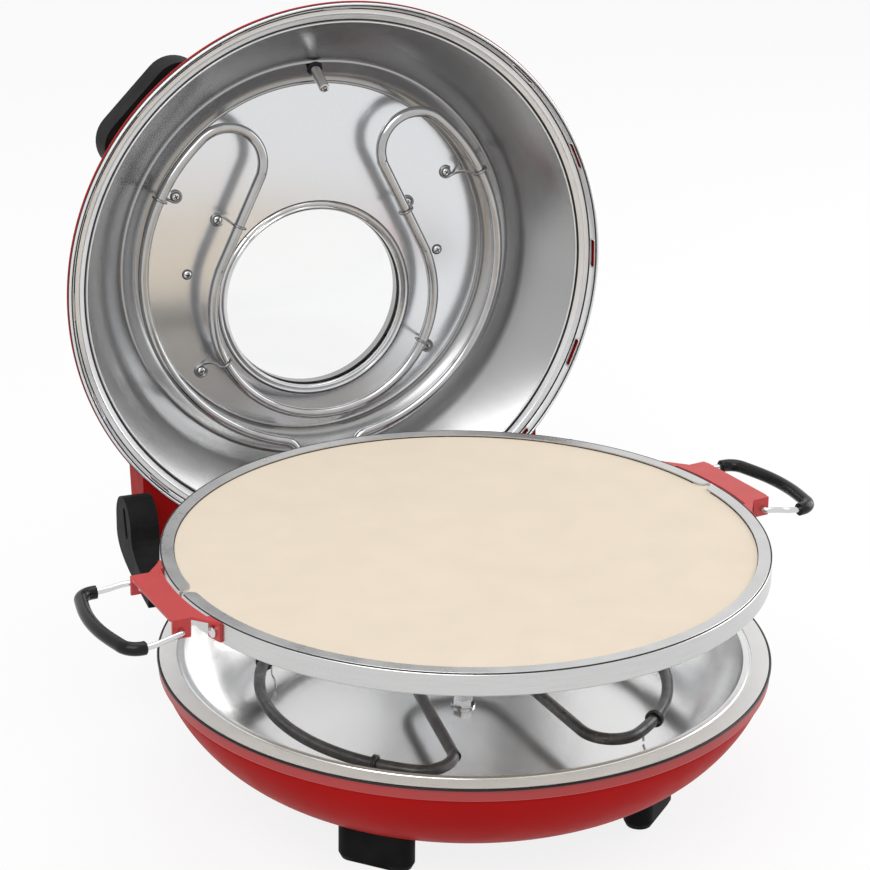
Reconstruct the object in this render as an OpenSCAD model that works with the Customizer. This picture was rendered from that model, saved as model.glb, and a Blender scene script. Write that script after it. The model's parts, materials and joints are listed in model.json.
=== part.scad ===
// Electric pizza maker: round stone in a lift-off carrier, heated base, hinged domed lid with a window.
// The table is at z = 0 and the axis of the round base is the z axis. The front is -Y.

/* [Stone and carrier] */
// Radius of the pizza stone
stone_r = 162; // [150:1:180]
// Thickness of the pizza stone
stone_h = 10; // [8:0.5:16]
// Play between the stone and its carrier ring
stone_play = 0.3; // [0.2:0.1:1]
// Sheet thickness of the carrier ring
ring_sheet = 1.2; // [0.8:0.1:2]
// Width of the ring's flange over the stone
ring_lap = 6.2; // [4:0.1:10]
// Width of the ring's flange under the stone
ring_sole = 9; // [6:0.5:14]
// Gap between the ends of the two ring halves
ring_split = 3; // [2:0.5:6]
// Corner radius at the ends of the ring halves
ring_corner = 5; // [2:0.5:6]
// How far the carrier is turned about the vertical axis
tray_turn = 8; // [0:1:20]
// How far the lifted carrier stands above its seat
lift_up = 72.4; // [60:0.1:90]
// How far the lifted carrier stands forward of its seat
lift_front = 45.8; // [40:0.1:60]
// How far the lifted carrier stands to the left of its seat
lift_left = 18; // [0:0.1:30]
// Air under the seated carrier
seat_gap = 0.3; // [0.3:0.1:1]

/* [Carrier handles] */
// Sheet thickness of the handle brackets
bracket_sheet = 1.5; // [1:0.1:2]
// Gap between the ring and a bracket's plate
bracket_gap = 1.7; // [1:0.1:3]
// Reach of a bracket's plate beyond the ring
bracket_reach = 15; // [12:0.5:20]
// Half of the bracket's angle at the ring
bracket_half = 13.4; // [12:0.2:17]
// Half length of a bracket's outer edge
bracket_edge = 27; // [22:0.5:30]
// Height of the bracket's folded tabs
tab_h = 11; // [9:0.5:12]
// Radius of the bail wire
wire_r = 1.6; // [1.2:0.1:2]
// Depth of the bail's pivot below the ring's top
bail_drop = 6.5; // [5:0.5:7]
// Half distance between the bail's pivot ends
bail_half = 33; // [31:0.5:38]
// Reach of the bail from its pivot to its grip
bail_reach = 36; // [32:0.5:50]
// Half width of the bail at its grip
grip_half = 37; // [35:0.5:44]
// Radius of the black grip sleeve
grip_r = 3.6; // [3:0.1:5]
// Bulge of the bail's grip beyond its corners
grip_bulge = 4; // [0:0.5:6]
// Angle by which both bails stand behind the ring's middle
bail_turn = 2.6; // [0:0.1:4]
// Bend radius of the bail's outer corners
grip_bend = 9; // [7:0.5:12]

/* [Base] */
// Height of the base's rim above the table
rim_z = 80; // [75:1:95]
// Room between the table and the bowl's bottom
under_base = 20; // [16:1:24]
// Sheet thickness of the red shells
shell_sheet = 1.2; // [1:0.1:2]
// Height of the straight collar under the rim
collar_h = 7; // [5:0.5:12]
// Radius of the bowl's flat bottom
bowl_flat_r = 106; // [95:1:115]
// Width of the black edge trim
trim_w = 1.4; // [1.2:0.1:3]
// Height of the black edge trim
trim_h = 1.6; // [1.5:0.1:4]
// Sheet thickness of the two steel reflectors
steel_sheet = 0.8; // [0.6:0.1:1.2]
// Depth of the base reflector below the rim
pan_depth = 38; // [34:1:44]
// Radius of the base reflector's flat floor
pan_floor_r = 104; // [95:1:115]
// Width of the flange that the carrier rests on
seat_w = 6.5; // [5:0.5:10]

/* [Feet] */
// Distance of each foot from the axis
foot_ring_r = 113; // [100:1:120]
// Angle of the front feet from the front
foot_angle = 45; // [35:1:50]
// Length of a foot
foot_l = 44; // [30:1:50]
// Width of a foot
foot_w = 17; // [12:1:24]

/* [Heaters] */
// Radius of a heater tube
tube_r = 3.3; // [2.5:0.1:4]
// Radius of each heater's outer bow
bow_r = 115; // [105:1:118]
// Depth of the lower heater below the rim
lower_drop = 21; // [18:1:25]
// Radius of the lower heater's lobes
lower_lobe_r = 18; // [15:1:22]
// Angle of the lower heater's lobes from the front
lower_lobe_a = 35; // [30:1:40]
// Radius of the lower heater's inner bow
lower_bow_r = 28; // [22:1:34]
// Depth of the upper heater in the lid
upper_drop = 36; // [32:1:40]
// Angle of the lower heater's front clips from the front
clip_front_a = 45; // [40:1:60]
// Angle of the lower heater's rear clips from the front
clip_rear_a = 120; // [100:1:130]
// Radius of the upper heater's lobes
upper_lobe_r = 23; // [20:1:26]
// Angle of the upper heater's lobes from the front
upper_lobe_a = 41.5; // [38:0.5:45]
// Radius of the upper heater's inner bow
upper_bow_r = 72; // [68:1:76]
// Distance between a heater's two terminals
terminal_gap = 38; // [30:1:50]

/* [Lid] */
// Angle between the closed lid and the open lid
lid_open = 92; // [85:1:95]
// Air between the closed lid and the carrier
lid_gap = 0.4; // [0.3:0.1:2]
// Air between the carrier ring and the lid's band
band_gap = 2.5; // [2:0.1:5]
// Width of the lid's steel lip
lip_w = 3.5; // [3:0.1:6]
// Height of the band with the vents
band_h = 14; // [13.5:0.5:18]
// How far the band leans in over its height
band_draft = 5; // [3:0.5:7]
// Width of the flat step inside the band
step_w = 9; // [6:0.5:12]
// Width of the base's rim beyond the lid's lip
base_over = 2.5; // [1.5:0.1:5]
// Depth of the lid's reflector
lid_pan_depth = 56; // [52:1:60]
// Radius of the lid reflector's flat floor
lid_floor_r = 113; // [108:1:118]
// Height of the dome's top above the lid reflector's floor
dome_air = 12; // [11:0.5:20]
// Height of the dome's straight collar
dome_collar = 2.5; // [2:0.5:6]
// Radius of the dome's flat top
dome_flat_r = 96; // [93:1:105]
// Number of vents in the lid's band
vent_count = 16; // [8:2:20]
// Length of a vent
vent_l = 18; // [10:1:24]
// Width of a vent
vent_w = 5; // [3:0.5:7]

// How far the crease in the lid reflector's wall lies outside its floor
crease_out = 13; // [9:0.5:18]
// Height of that crease above the floor
crease_up = 8; // [6:0.5:12]
// Radius of the bead pressed round the lid reflector's floor
bead_r = 1; // [0.6:0.1:1.6]

/* [Window] */
// Radius of the visible glass
window_r = 57; // [45:1:60]
// Distance of the window from the lid's axis, towards the hinge
window_off = 26.6; // [20:0.1:30]
// Thickness of the glass
glass_h = 4; // [3:0.5:5]
// Width of the rings that hold the glass
window_ring_w = 5.5; // [4:0.5:6]

/* [Hinge] */
// Distance of the hinge axis behind the lid's lip
hinge_back = 2; // [0:0.5:6]
// Depth of the hinge axis below the base's rim
hinge_drop = 21; // [19:0.5:24]
// Radius of a hinge pin
pin_r = 4; // [3:0.5:5]
// Running clearance of a hinge pin
pin_fit = 0.05; // [0.02:0.01:0.1]
// Radius of the hinge knuckles
knuckle_r = 10; // [8:0.5:11]
// Distance from the housing's end to a knuckle's inner end
knuckle_back = 46.5; // [43:0.5:50]
// Length of a knuckle
knuckle_l = 17.5; // [12:0.5:18]
// Side play between moving hinge pieces
hinge_play = 0.5; // [0.4:0.1:1]
// Half width of the lid's hinge housing
housing_half = 128.5; // [124:0.5:132]
// Height of the lid's hinge housing
housing_h = 24; // [20:1:28]
// Width of a hinge tower
tower_w = 17.5; // [16:0.5:26]
// Height of a hinge tower above the rim
tower_top = 35; // [34:1:44]

/* [Lid fittings] */
// Angle of the lid's grips from the front
lid_grip_a = 45.6; // [40:0.5:55]
// How far a grip's outer edge stays inside the lid's lip
lid_grip_in = 7; // [0:0.5:9]
// How far a grip's root reaches inside the lid's lip
lid_grip_root = 49.5; // [40:0.5:60]
// Width of a lid grip
lid_grip_w = 80; // [70:1:95]
// Thickness of a lid grip
lid_grip_h = 22; // [16:1:28]
// Depth of the grips' face behind the lip
lid_grip_z = 34; // [30:1:40]
// Radius of the temperature knob
knob_r = 17; // [14:1:20]
// Height of the temperature knob
knob_h = 14; // [10:1:18]
// Distance of the knob from the lid's axis
knob_off = 106; // [100:1:110]
// Radius of the thermostat probe
probe_r = 3.2; // [2.5:0.1:4]
// Length of the probe inside the lid
probe_l = 19; // [14:1:24]

/* [Hidden] */
$fn = 64;
tiny = 0.05;

red = "firebrick";
black = [0.12, 0.12, 0.12];
steel = "silver";

// Carrier and lid radii grow outwards from the stone.
ring_in = stone_r + stone_play;
ring_r = ring_in + ring_sheet;
ring_h = stone_h + 2 * ring_sheet + 0.1;
band_r = ring_r + band_gap;
lip_r = band_r + lip_w;
base_r = lip_r + base_over;
step_r = band_r - band_draft - step_w;
hinge_y = lip_r + hinge_back;
hinge_z = rim_z - hinge_drop;
lip_z = rim_z + seat_gap + ring_h + lid_gap;
pivot_below_lip = lip_z - hinge_z;
bowl_depth = rim_z - under_base;
shell_r = base_r - 1;
pan_r = base_r - trim_w;
dome_h = lid_pan_depth + dome_air;
seat_r = ring_r - seat_w;
lift = [-lift_left, -lift_front, lift_up];
end_bend = 10;
lip_sheet = 1.2;
housing_z = lip_sheet + 0.1;
foot_bore = 7;
bush_l = 16;
lower_exit = seat_r - 19;
lower_bow_back = 10;
upper_exit = lid_floor_r + 9;
upper_bow_back = window_off - 2.6;
clip_r = 0.8;
gland_z = rim_z - 36;
gland_y = base_r - 22;
gland_r = 7;
thermostat_h = dome_air - shell_sheet - steel_sheet - 5.5;
screw_r = 2;
pan_screw_r = 1.4;
pan_head_r = 2.6;
hook_play = 0.2;
window_seat_r = window_r + window_ring_w;
glass_z = lid_pan_depth + steel_sheet + tiny;
knuckle_in = housing_half - knuckle_back;
tower_in = housing_half + hinge_play;
root_in = knuckle_in + knuckle_l + hinge_play;
pin_hold = 18;
barrel_r = 17;
tower_toe = 37;
slot_depth = 2;
slot_l = 14;
slot_r = 2.6;
plate_y = base_r - 72;
plate_step = 10.5;
control_r = 22;
control_h = 12;
control_half = 30;
control_root = 26;
lamp_x = control_half + 2;
shaft_r = 3;
probe_wall_r = lid_floor_r + 8;
probe_wall_z = lid_pan_depth - 7;
bail_x = ring_r + bracket_gap + bracket_reach - 5;

// ---- helpers ----

function bezier(a, b, c, d, n) = [for (i = [0:n]) let (t = i / n, u = 1 - t)
    u * u * u * a + 3 * u * u * t * b + 3 * u * t * t * c + t * t * t * d];
function arc(c, r, a0, a1, n) = [for (i = [0:n]) let (a = a0 + (a1 - a0) * i / n)
    [c[0] + r * cos(a), c[1] + r * sin(a)]];
function unit(v) = v / norm(v);
// Points of a profile moved along the inward normal by a sheet's thickness.
function inset(p, t) = [for (i = [0:len(p) - 1])
    let (q = unit(p[min(i + 1, len(p) - 1)] - p[max(i - 1, 0)])) p[i] + t * [-q[1], q[0]]];
function reversed(p) = [for (i = [len(p) - 1:-1:0]) p[i]];

// Ring in the XY plane with a rectangular section.
module tube(r_out, r_in, h) {
    difference() {
        cylinder(r = r_out, h = h, $fn = 180);
        translate([0, 0, -1]) cylinder(r = r_in, h = h + 2, $fn = 180);
    }
}

// A round wire along a list of points, as one mesh.
module wire(path, r, sides) {
    last = len(path) - 1;
    tangents = [for (i = [0:last]) unit(path[min(i + 1, last)] - path[max(i - 1, 0)])];
    function frame(i, u) = i > last ? [] :
        let (s = unit(cross(tangents[i], u)), v = cross(s, tangents[i])) concat([[s, v]], frame(i + 1, v));
    start = abs(tangents[0][2]) > 0.9 ? [1, 0, 0] : [0, 0, 1];
    frames = frame(0, start);
    points = [for (i = [0:last]) for (k = [0:sides - 1])
        path[i] + r * (cos(360 * k / sides) * frames[i][0] + sin(360 * k / sides) * frames[i][1])];
    walls = [for (i = [0:last - 1]) for (k = [0:sides - 1])
        let (a = i * sides, b = a + sides, n = (k + 1) % sides) [a + k, a + n, b + n, b + k]];
    polyhedron(points, concat([[for (k = [sides - 1:-1:0]) k]], walls,
        [[for (k = [0:sides - 1]) last * sides + k]]), convexity = 6);
}

module lid_place() {
    translate([0, hinge_y, hinge_z]) rotate([-lid_open, 0, 0]) translate([0, -hinge_y, pivot_below_lip])
        children();
}

module tray_place() {
    translate([0, 0, rim_z + seat_gap] + lift) rotate([0, 0, tray_turn]) children();
}

// Both handle ends of the carrier: the second is the first turned half round.
module at_side(right) {
    rotate([0, 0, right ? bail_turn : 180 - bail_turn]) children();
}

// ---- base ----

function bowl_outline() = concat([[shell_r, rim_z - 1], [shell_r, rim_z - collar_h]],
    bezier([shell_r, rim_z - collar_h], [shell_r - 8, rim_z - bowl_depth * 0.5],
        [shell_r - 35, under_base], [bowl_flat_r, under_base], 14));

// Solid of the bowl's outside, grown by a clearance, for pieces that seat against it.
module bowl_solid(grow) {
    outline = bowl_outline();
    rotate_extrude($fn = 180) polygon(concat([[0, rim_z + 8], [base_r + grow, rim_z + 8],
        [base_r + grow, rim_z - trim_h - grow]], [for (p = outline) if (p[1] < rim_z - trim_h - 0.5) p + [grow, -grow]],
        [[0, under_base - grow]]));
}

module base_shell() {
    outline = bowl_outline();
    color(red) difference() {
        rotate_extrude($fn = 180) polygon(concat(outline, [[0, under_base]], [[0, under_base + shell_sheet]],
            reversed(inset(outline, -shell_sheet))));
        at_feet() translate([0, 0, under_base - 1]) cylinder(r = 2.2, h = 12, $fn = 24);
        at_hinge_screws() cylinder(r = screw_r + tiny, h = 30, $fn = 24);
        translate([0, 0, gland_z]) rotate([-90, 0, 0]) cylinder(r = gland_r, h = base_r, $fn = 32);
        translate([0, 0, under_base - 1]) cylinder(r = 3.2, h = 6, $fn = 24);
    }
}

module base_trim() {
    color(black) rotate_extrude($fn = 180) polygon(concat(
        [[shell_r + tiny, rim_z - trim_h], [base_r, rim_z - trim_h]],
        arc([base_r - trim_w / 2, rim_z - 0.6], trim_w / 2, 0, 180, 8),
        [[pan_r, rim_z - 1 + tiny], [shell_r + tiny, rim_z - 1 + tiny]]));
}

// A reflector pan: wall curve from a to d, then a flat floor, as one sheet.
module pan(wall, flange_r) {
    rise = wall[0][1];
    under = inset(wall, steel_sheet);
    rotate_extrude($fn = 180) polygon(concat([[flange_r, rise]], wall, [[0, wall[len(wall) - 1][1]]],
        [[0, wall[len(wall) - 1][1] - steel_sheet]], [for (q = reversed(under)) if (q[1] < rise - 2 * steel_sheet) q],
        [[wall[0][0] + steel_sheet, rise - steel_sheet], [flange_r, rise - steel_sheet]]));
}

function base_wall() = bezier([seat_r, rim_z], [seat_r - 7, rim_z - pan_depth * 0.62],
    [seat_r - 26, rim_z - pan_depth], [pan_floor_r, rim_z - pan_depth], 12);

module base_pan() {
    color(steel) difference() {
        pan(base_wall(), pan_r - tiny);
        translate([0, 0, rim_z - 0.3]) tube(seat_r + 2.4, seat_r + 1.2, 2);
        translate([0, 0, rim_z - pan_depth - 2]) cylinder(r = 3.2, h = 4, $fn = 24);
        element_ends(lower_exit, rim_z - lower_drop) cylinder(r = tube_r + 2 + tiny, h = bush_l, $fn = 32);
    }
}

// Where a heater's ends leave the pan, at the back; children point along +Z outwards.
module element_ends(y, z) {
    for (s = [-1, 1]) translate([s * terminal_gap / 2, y, z]) rotate([-90, 0, 0]) children();
}

// Middle line of a heater's left half at z = 0: an end at the back, an outer bow, a front lobe and
// half of an inner bow whose centre is bow_back behind the axis.
function element_half(lobe_r, lobe_a, inner_r, bow_back, exit_y) = let (
    lobe = (bow_r - lobe_r) * [-sin(lobe_a), -cos(lobe_a)],
    inner = [0, bow_back],
    gap = inner - lobe,
    out_a = atan2(gap[1], gap[0]) - acos((lobe_r + inner_r) / norm(gap)),
    turn_x = terminal_gap / 2 + end_bend,
    turn = [-turn_x, sqrt(pow(bow_r + end_bend, 2) - turn_x * turn_x)],
    turn_a = atan2(turn[1], turn[0]))
    concat([[-terminal_gap / 2, exit_y + bush_l + 2]],
        arc(turn, end_bend, 360, 180 + turn_a, 8),
        arc([0, 0], bow_r, turn_a + 2, 270 - lobe_a, 34),
        arc(lobe, lobe_r, 274 - lobe_a, 360 + out_a, 14),
        arc(inner, inner_r, 180 + out_a, 90, 16));

// The whole heater as one swept tube.
module element(lobe_r, lobe_a, inner_r, bow_back, exit_y) {
    left = element_half(lobe_r, lobe_a, inner_r, bow_back, exit_y);
    path = concat(left, [for (i = [len(left) - 2:-1:0]) [-left[i][0], left[i][1]]]);
    wire([for (q = path) [q[0], q[1], 0]], tube_r, 12);
}

module lower_element() {
    color("dimgray") translate([0, 0, rim_z - lower_drop])
        element(lower_lobe_r, lower_lobe_a, lower_bow_r, lower_bow_back, lower_exit);
}

// Bushes that carry a heater's ends through its pan, with a bore for the tube.
module bush(l) {
    tube(tube_r + 2, tube_r + tiny, l);
}

module lower_bushes() {
    color("linen") element_ends(lower_exit, rim_z - lower_drop) bush(bush_l);
}

// Wire clips round the lower heater, each with a leg down to the pan inside the bow.
module lower_clips() {
    loop = tube_r + clip_r + hook_play;
    leg_r = bow_r - loop;
    foot_z = lookup(leg_r + clip_r, base_wall()) + tiny;
    tube_z = rim_z - lower_drop;
    color("gray") for (a = [clip_front_a, clip_rear_a], s = [-1, 1]) rotate([0, 0, s * a]) translate([0, -leg_r, 0])
        rotate([0, 0, -90]) wire(concat([for (z = [foot_z, (foot_z + tube_z) / 2, tube_z]) [0, 0, z]],
            [for (t = [155:-25:-145]) [loop + loop * cos(t), 0, tube_z + loop * sin(t)]]), clip_r, 8);
}

module hex_bolt(r, h, af, head) {
    cylinder(r = r, h = h, $fn = 24);
    translate([0, 0, h]) cylinder(d = af / cos(30), h = head, $fn = 6);
}

module pan_washer() {
    color(steel) translate([0, 0, rim_z - pan_depth]) tube(9, 3.1, 1.2);
}

module pan_bolt() {
    floor_z = rim_z - pan_depth + 1.2;
    color(steel) translate([0, 0, under_base + shell_sheet + 0.2])
        hex_bolt(3, floor_z - under_base - shell_sheet - 0.2, 10, 4);
}

module at_feet() {
    for (a = [-foot_angle, foot_angle, 180 + foot_angle, 180 - foot_angle]) rotate([0, 0, a - 90])
        translate([foot_ring_r, 0, 0]) children();
}

module foot(a) {
    straight = foot_l - foot_w;
    color(black) difference() {
        rotate([0, 0, a - 90]) translate([foot_ring_r, 0, 0]) difference() {
            union() {
                translate([-foot_w / 2, -straight / 2, 3]) cube([foot_w, straight, under_base + 14]);
                translate([-foot_w / 2 + 1.5, -straight / 2, 0]) cube([foot_w - 3, straight, 4]);
                for (s = [-1, 1]) translate([0, s * straight / 2, 0]) {
                    translate([0, 0, 3]) cylinder(r = foot_w / 2, h = under_base + 14);
                    cylinder(r1 = foot_w / 2 - 1.5, r2 = foot_w / 2, h = 3);
                }
            }
            translate([0, 0, -1]) cylinder(r = 2.2, h = 80, $fn = 24);
            translate([0, 0, -1]) cylinder(r = 4.5, h = foot_bore + 1, $fn = 32);
        }
        bowl_solid(tiny);
    }
}

module foot_front_left() { foot(-foot_angle); }
module foot_front_right() { foot(foot_angle); }
module foot_rear_left() { foot(180 + foot_angle); }
module foot_rear_right() { foot(180 - foot_angle); }

module foot_screws() {
    color(steel) at_feet() {
        translate([0, 0, foot_bore - 2.5]) cylinder(r = 4, h = 2.4, $fn = 32);
        translate([0, 0, foot_bore - 1]) cylinder(r = screw_r, h = under_base - foot_bore + 6, $fn = 24);
    }
}

module cord_gland() {
    color(black) difference() {
        union() {
            difference() {
                translate([0, gland_y - 6, gland_z]) rotate([-90, 0, 0])
                    cylinder(r1 = gland_r + 4, r2 = gland_r + 1, h = 18, $fn = 48);
                bowl_solid(tiny);
            }
            translate([0, gland_y - 10, gland_z]) rotate([-90, 0, 0])
                cylinder(r = gland_r - tiny, h = 22, $fn = 32);
        }
        translate([0, gland_y - 11, gland_z]) rotate([-90, 0, 0])
            cylinder(r = gland_r - 2.5, h = 40, $fn = 32);
    }
}

module terminal_block() {
    color("ivory") translate([-20, 60, under_base + shell_sheet]) difference() {
        cube([40, 18, 12]);
        for (x = [8, 20, 32]) translate([x, -1, 6]) rotate([-90, 0, 0]) cylinder(r = 2.2, h = 20, $fn = 24);
    }
}

// ---- hinge ----

// Extrudes a profile drawn in y and z along x.
module across(x0, w) {
    translate([x0, 0, 0]) rotate([90, 0, 90]) linear_extrude(w) children();
}

module on_sides(left) {
    mirror([left ? 1 : 0, 0, 0]) children();
}

module tower_outline() {
    front = hinge_y + 0.5;
    polygon(concat([[front - tower_toe, rim_z - 14]], bezier([front - tower_toe, rim_z - 2],
        [front - 18, rim_z + 2], [front, rim_z + 4], [front, rim_z + tower_top - barrel_r], 8),
        arc([front + barrel_r, rim_z + tower_top - barrel_r], barrel_r, 180, 0, 16),
        bezier([front + 2 * barrel_r, rim_z + 8], [front + 2 * barrel_r - 2, rim_z - 4],
            [front + 14, rim_z - 7], [front - 8, rim_z - 11], 8)));
}

module root_outline() {
    polygon(concat([[hinge_y - 78, rim_z - 38], [hinge_y - 78, rim_z - 12], [hinge_y - 34, rim_z + 4],
        [hinge_y + 15, rim_z + 4]], arc([hinge_y + 2, hinge_z - 8], 14, 0, -90, 6),
        [[hinge_y - 40, rim_z - 46]]));
}

// Black block at one side: tower, root on the bowl and the bridge between them.
module hinge_block(left) {
    color(black) on_sides(left) difference() {
        union() {
            across(tower_in, tower_w) tower_outline();
            across(root_in, tower_in - 8 - root_in) root_outline();
            across(tower_in - 12, 14) polygon([[hinge_y - 32, rim_z - 10], [hinge_y - 32, rim_z],
                [hinge_y - 14, rim_z + 4], [hinge_y + 15, rim_z + 4], [hinge_y + 15, rim_z - 6]]);
        }
        bowl_solid(tiny);
        translate([root_in - 1, hinge_y, hinge_z]) rotate([0, 90, 0])
            cylinder(r = pin_r + 0.02, h = pin_hold + 1);
        hinge_screw_axis() cylinder(r = screw_r + tiny, h = 32, $fn = 24);
        across(tower_in + tower_w - slot_depth, slot_depth + 1)
            translate([hinge_y + 13, rim_z + tower_top - 15]) rotate(72) slot_outline();
    }
}

// The tower's slot with its round ends, along x.
module slot_outline() {
    translate([-slot_l / 2, -slot_r]) square([slot_l, 2 * slot_r]);
    for (x = [-slot_l / 2, slot_l / 2]) translate([x, 0]) circle(r = slot_r, $fn = 32);
}

module hinge_block_left() { hinge_block(true); }
module hinge_block_right() { hinge_block(false); }

module hinge_pin(left) {
    color(steel) on_sides(left) translate([knuckle_in + 1, hinge_y, hinge_z]) rotate([0, 90, 0])
        cylinder(r = pin_r, h = root_in + pin_hold - knuckle_in - 1.5);
}

module hinge_pin_left() { hinge_pin(true); }
module hinge_pin_right() { hinge_pin(false); }

// Axes of the screws that hold a hinge block, from inside the bowl.
module hinge_screw_axis() {
    for (q = [[plate_step, -18], [0, -31]]) translate([root_in + 10, plate_y + q[0], rim_z + q[1]])
        rotate([-90, 0, 0]) children();
}

module at_hinge_screws() {
    for (left = [true, false]) on_sides(left) hinge_screw_axis() children();
}

module hinge_screws() {
    color(steel) at_hinge_screws() {
        translate([0, 0, -1]) cylinder(r = screw_r, h = 32, $fn = 24);
        translate([0, 0, -2.5]) cylinder(r = 4, h = 2.5 - tiny, $fn = 32);
    }
}

// Stepped blocks inside the bowl that spread the load of the hinge screws over the sheet.
module hinge_plates() {
    color("gray") for (left = [true, false]) on_sides(left) difference() {
        intersection() {
            across(root_in + 2, 16) polygon([[plate_y, rim_z - 38], [plate_y, rim_z - 24],
                [plate_y + plate_step, rim_z - 24], [plate_y + plate_step, rim_z - 12],
                [plate_y + 40, rim_z - 12], [plate_y + 40, rim_z - 38]]);
            bowl_solid(-shell_sheet - 2 * tiny);
        }
        hinge_screw_axis() cylinder(r = screw_r + tiny, h = 40, $fn = 24);
        rotate_extrude($fn = 180) polygon(concat([[0, rim_z]], inset(base_wall(), steel_sheet + seat_gap),
            [[0, rim_z - pan_depth - 2]]));
    }
}

// ---- lid, drawn closed with its lip plane at z = 0 ----

function dome_outline() = concat([[lip_r, lip_sheet], [lip_r, dome_collar]], bezier([lip_r, dome_collar],
    [lip_r - band_draft - 0.9, dome_collar + 15.5], [lip_r - 33, dome_h], [dome_flat_r, dome_h], 18));

module dome_solid(grow) {
    rotate_extrude($fn = 180) polygon(concat([[0, lip_sheet - 3], [lip_r + grow, lip_sheet - 3]],
        [for (q = dome_outline()) q + [grow, grow]], [[0, dome_h + grow]]));
}

module lid_shell() {
    outline = dome_outline();
    color(red) lid_place() difference() {
        rotate_extrude($fn = 180) polygon(concat(outline, [[0, dome_h], [0, dome_h - shell_sheet]],
            reversed(inset(outline, shell_sheet))));
        translate([0, window_off, dome_h - 5]) cylinder(r = window_seat_r + 0.2, h = 10, $fn = 120);
        translate([0, -knob_off, dome_h - 8]) cylinder(r = 6, h = 12, $fn = 32);
    }
}

module lid_rim() {
    band_in = band_r - band_draft;
    color(steel) lid_place() difference() {
        rotate_extrude($fn = 180) polygon([[step_r, band_h], [band_in, band_h], [band_r, 0.6], [band_r + 0.6, 0],
            [lip_r - 0.6, 0], [lip_r, 0.6], [lip_r, lip_sheet], [band_r + steel_sheet, lip_sheet],
            [band_in + steel_sheet, band_h + steel_sheet], [step_r, band_h + steel_sheet]]);
        for (i = [0:vent_count - 1]) rotate([0, 0, 360 * i / vent_count]) translate([band_in - 2, 0, band_h / 2 + 0.6])
            rotate([0, 90, 0]) {
                translate([-vent_w / 2, -(vent_l - vent_w) / 2, 0]) cube([vent_w, vent_l - vent_w, 12]);
                for (s = [-1, 1]) translate([0, s * (vent_l - vent_w) / 2, 0]) cylinder(r = vent_w / 2, h = 12, $fn = 32);
            }
    }
}

// Wall of the lid's reflector: an outer cone, a crease and a shallower cone down to the floor.
function lid_wall() = let (crease = [lid_floor_r + crease_out, lid_pan_depth - crease_up])
    concat(bezier([step_r + 1, band_h + steel_sheet], [step_r - 7, band_h + 9], crease + [7, -12], crease, 10),
    bezier(crease - [1.2, 0.3], crease - [5, -2.5], [lid_floor_r + 4, lid_pan_depth], [lid_floor_r, lid_pan_depth], 6));

module lid_pan() {
    wall = lid_wall();
    color(steel) lid_place() difference() {
        rotate_extrude($fn = 180) polygon(concat([[step_r + 6, wall[0][1]]], wall,
            arc([lid_floor_r - 2 * bead_r, lid_pan_depth + tiny], bead_r, 0, -180, 8), [[0, lid_pan_depth],
            [0, lid_pan_depth + steel_sheet]], [for (q = reversed(inset(wall, -steel_sheet)))
            if (q[1] > wall[0][1] + 2 * steel_sheet) q],
            [[wall[0][0] + steel_sheet, wall[0][1] + steel_sheet], [step_r + 6, wall[0][1] + steel_sheet]]));
        translate([0, window_off, lid_pan_depth - 4]) cylinder(r = window_r, h = 10, $fn = 120);
        element_ends(upper_exit, upper_drop) cylinder(r = tube_r + 2 + tiny, h = bush_l, $fn = 32);
        probe_axis() translate([0, 0, -12]) cylinder(r = probe_r + 2 + tiny, h = 24, $fn = 32);
        at_pan_screws() translate([0, 0, -1]) cylinder(r = pan_screw_r + tiny, h = 4, $fn = 24);
    }
}

module hinge_housing() {
    back = hinge_y + 12;
    color(red) lid_place() difference() {
        union() {
            difference() {
                across(-housing_half, 2 * housing_half) polygon(concat([[70, housing_z], [back, housing_z]],
                    arc([back - 9, housing_z + housing_h - 9], 9, 0, 80, 6), [[hinge_y - 42, housing_z + housing_h + 6],
                    [70, housing_z + housing_h + 14]]));
                across(-housing_half + 1.5, 2 * housing_half - 3) polygon([[60, housing_z + 1.5],
                    [back - 1.5, housing_z + 1.5], [back - 1.5, housing_z + housing_h - 9],
                    [back - 8, housing_z + housing_h - 2], [hinge_y - 42, housing_z + housing_h + 4.2],
                    [60, housing_z + housing_h + 12]]);
            }
            for (left = [true, false]) on_sides(left) across(knuckle_in, knuckle_l) {
                translate([hinge_y, -pivot_below_lip]) circle(r = knuckle_r);
                translate([hinge_y - knuckle_r, -pivot_below_lip])
                    square([2 * knuckle_r, pivot_below_lip + housing_z + 1.5]);
            }
        }
        dome_solid(tiny);
        for (left = [true, false]) on_sides(left) translate([knuckle_in - 1, hinge_y, -pivot_below_lip])
            rotate([0, 90, 0]) cylinder(r = pin_r + pin_fit, h = knuckle_l + 2);
    }
}

module window_glass() {
    color([0.8, 0.85, 0.87, 0.5]) lid_place() translate([0, window_off, glass_z])
        cylinder(r = window_seat_r - 2.5, h = glass_h, $fn = 120);
}

module window_ring() {
    color(steel) lid_place() translate([0, window_off, lid_pan_depth - 1.6])
        rotate_extrude($fn = 120) polygon([[window_r, 0.4], [window_r + 1, 0], [window_seat_r - 1, 0],
            [window_seat_r, 0.6], [window_seat_r, 1.6], [window_r, 1.6]]);
}

module window_bezel() {
    color(black) lid_place() translate([0, window_off, 0]) rotate_extrude($fn = 120) polygon([
        [window_r, glass_z + glass_h + tiny], [window_seat_r, glass_z + glass_h + tiny], [window_seat_r, dome_h + tiny],
        [window_seat_r + 4, dome_h + tiny], [window_seat_r + 4, dome_h + 1], [window_seat_r + 2.5, dome_h + 2.4],
        [window_r, dome_h + 1.6]]);
}

module upper_element() {
    color(steel) lid_place() translate([0, 0, upper_drop])
        element(upper_lobe_r, upper_lobe_a, upper_bow_r, upper_bow_back, upper_exit);
}

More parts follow.
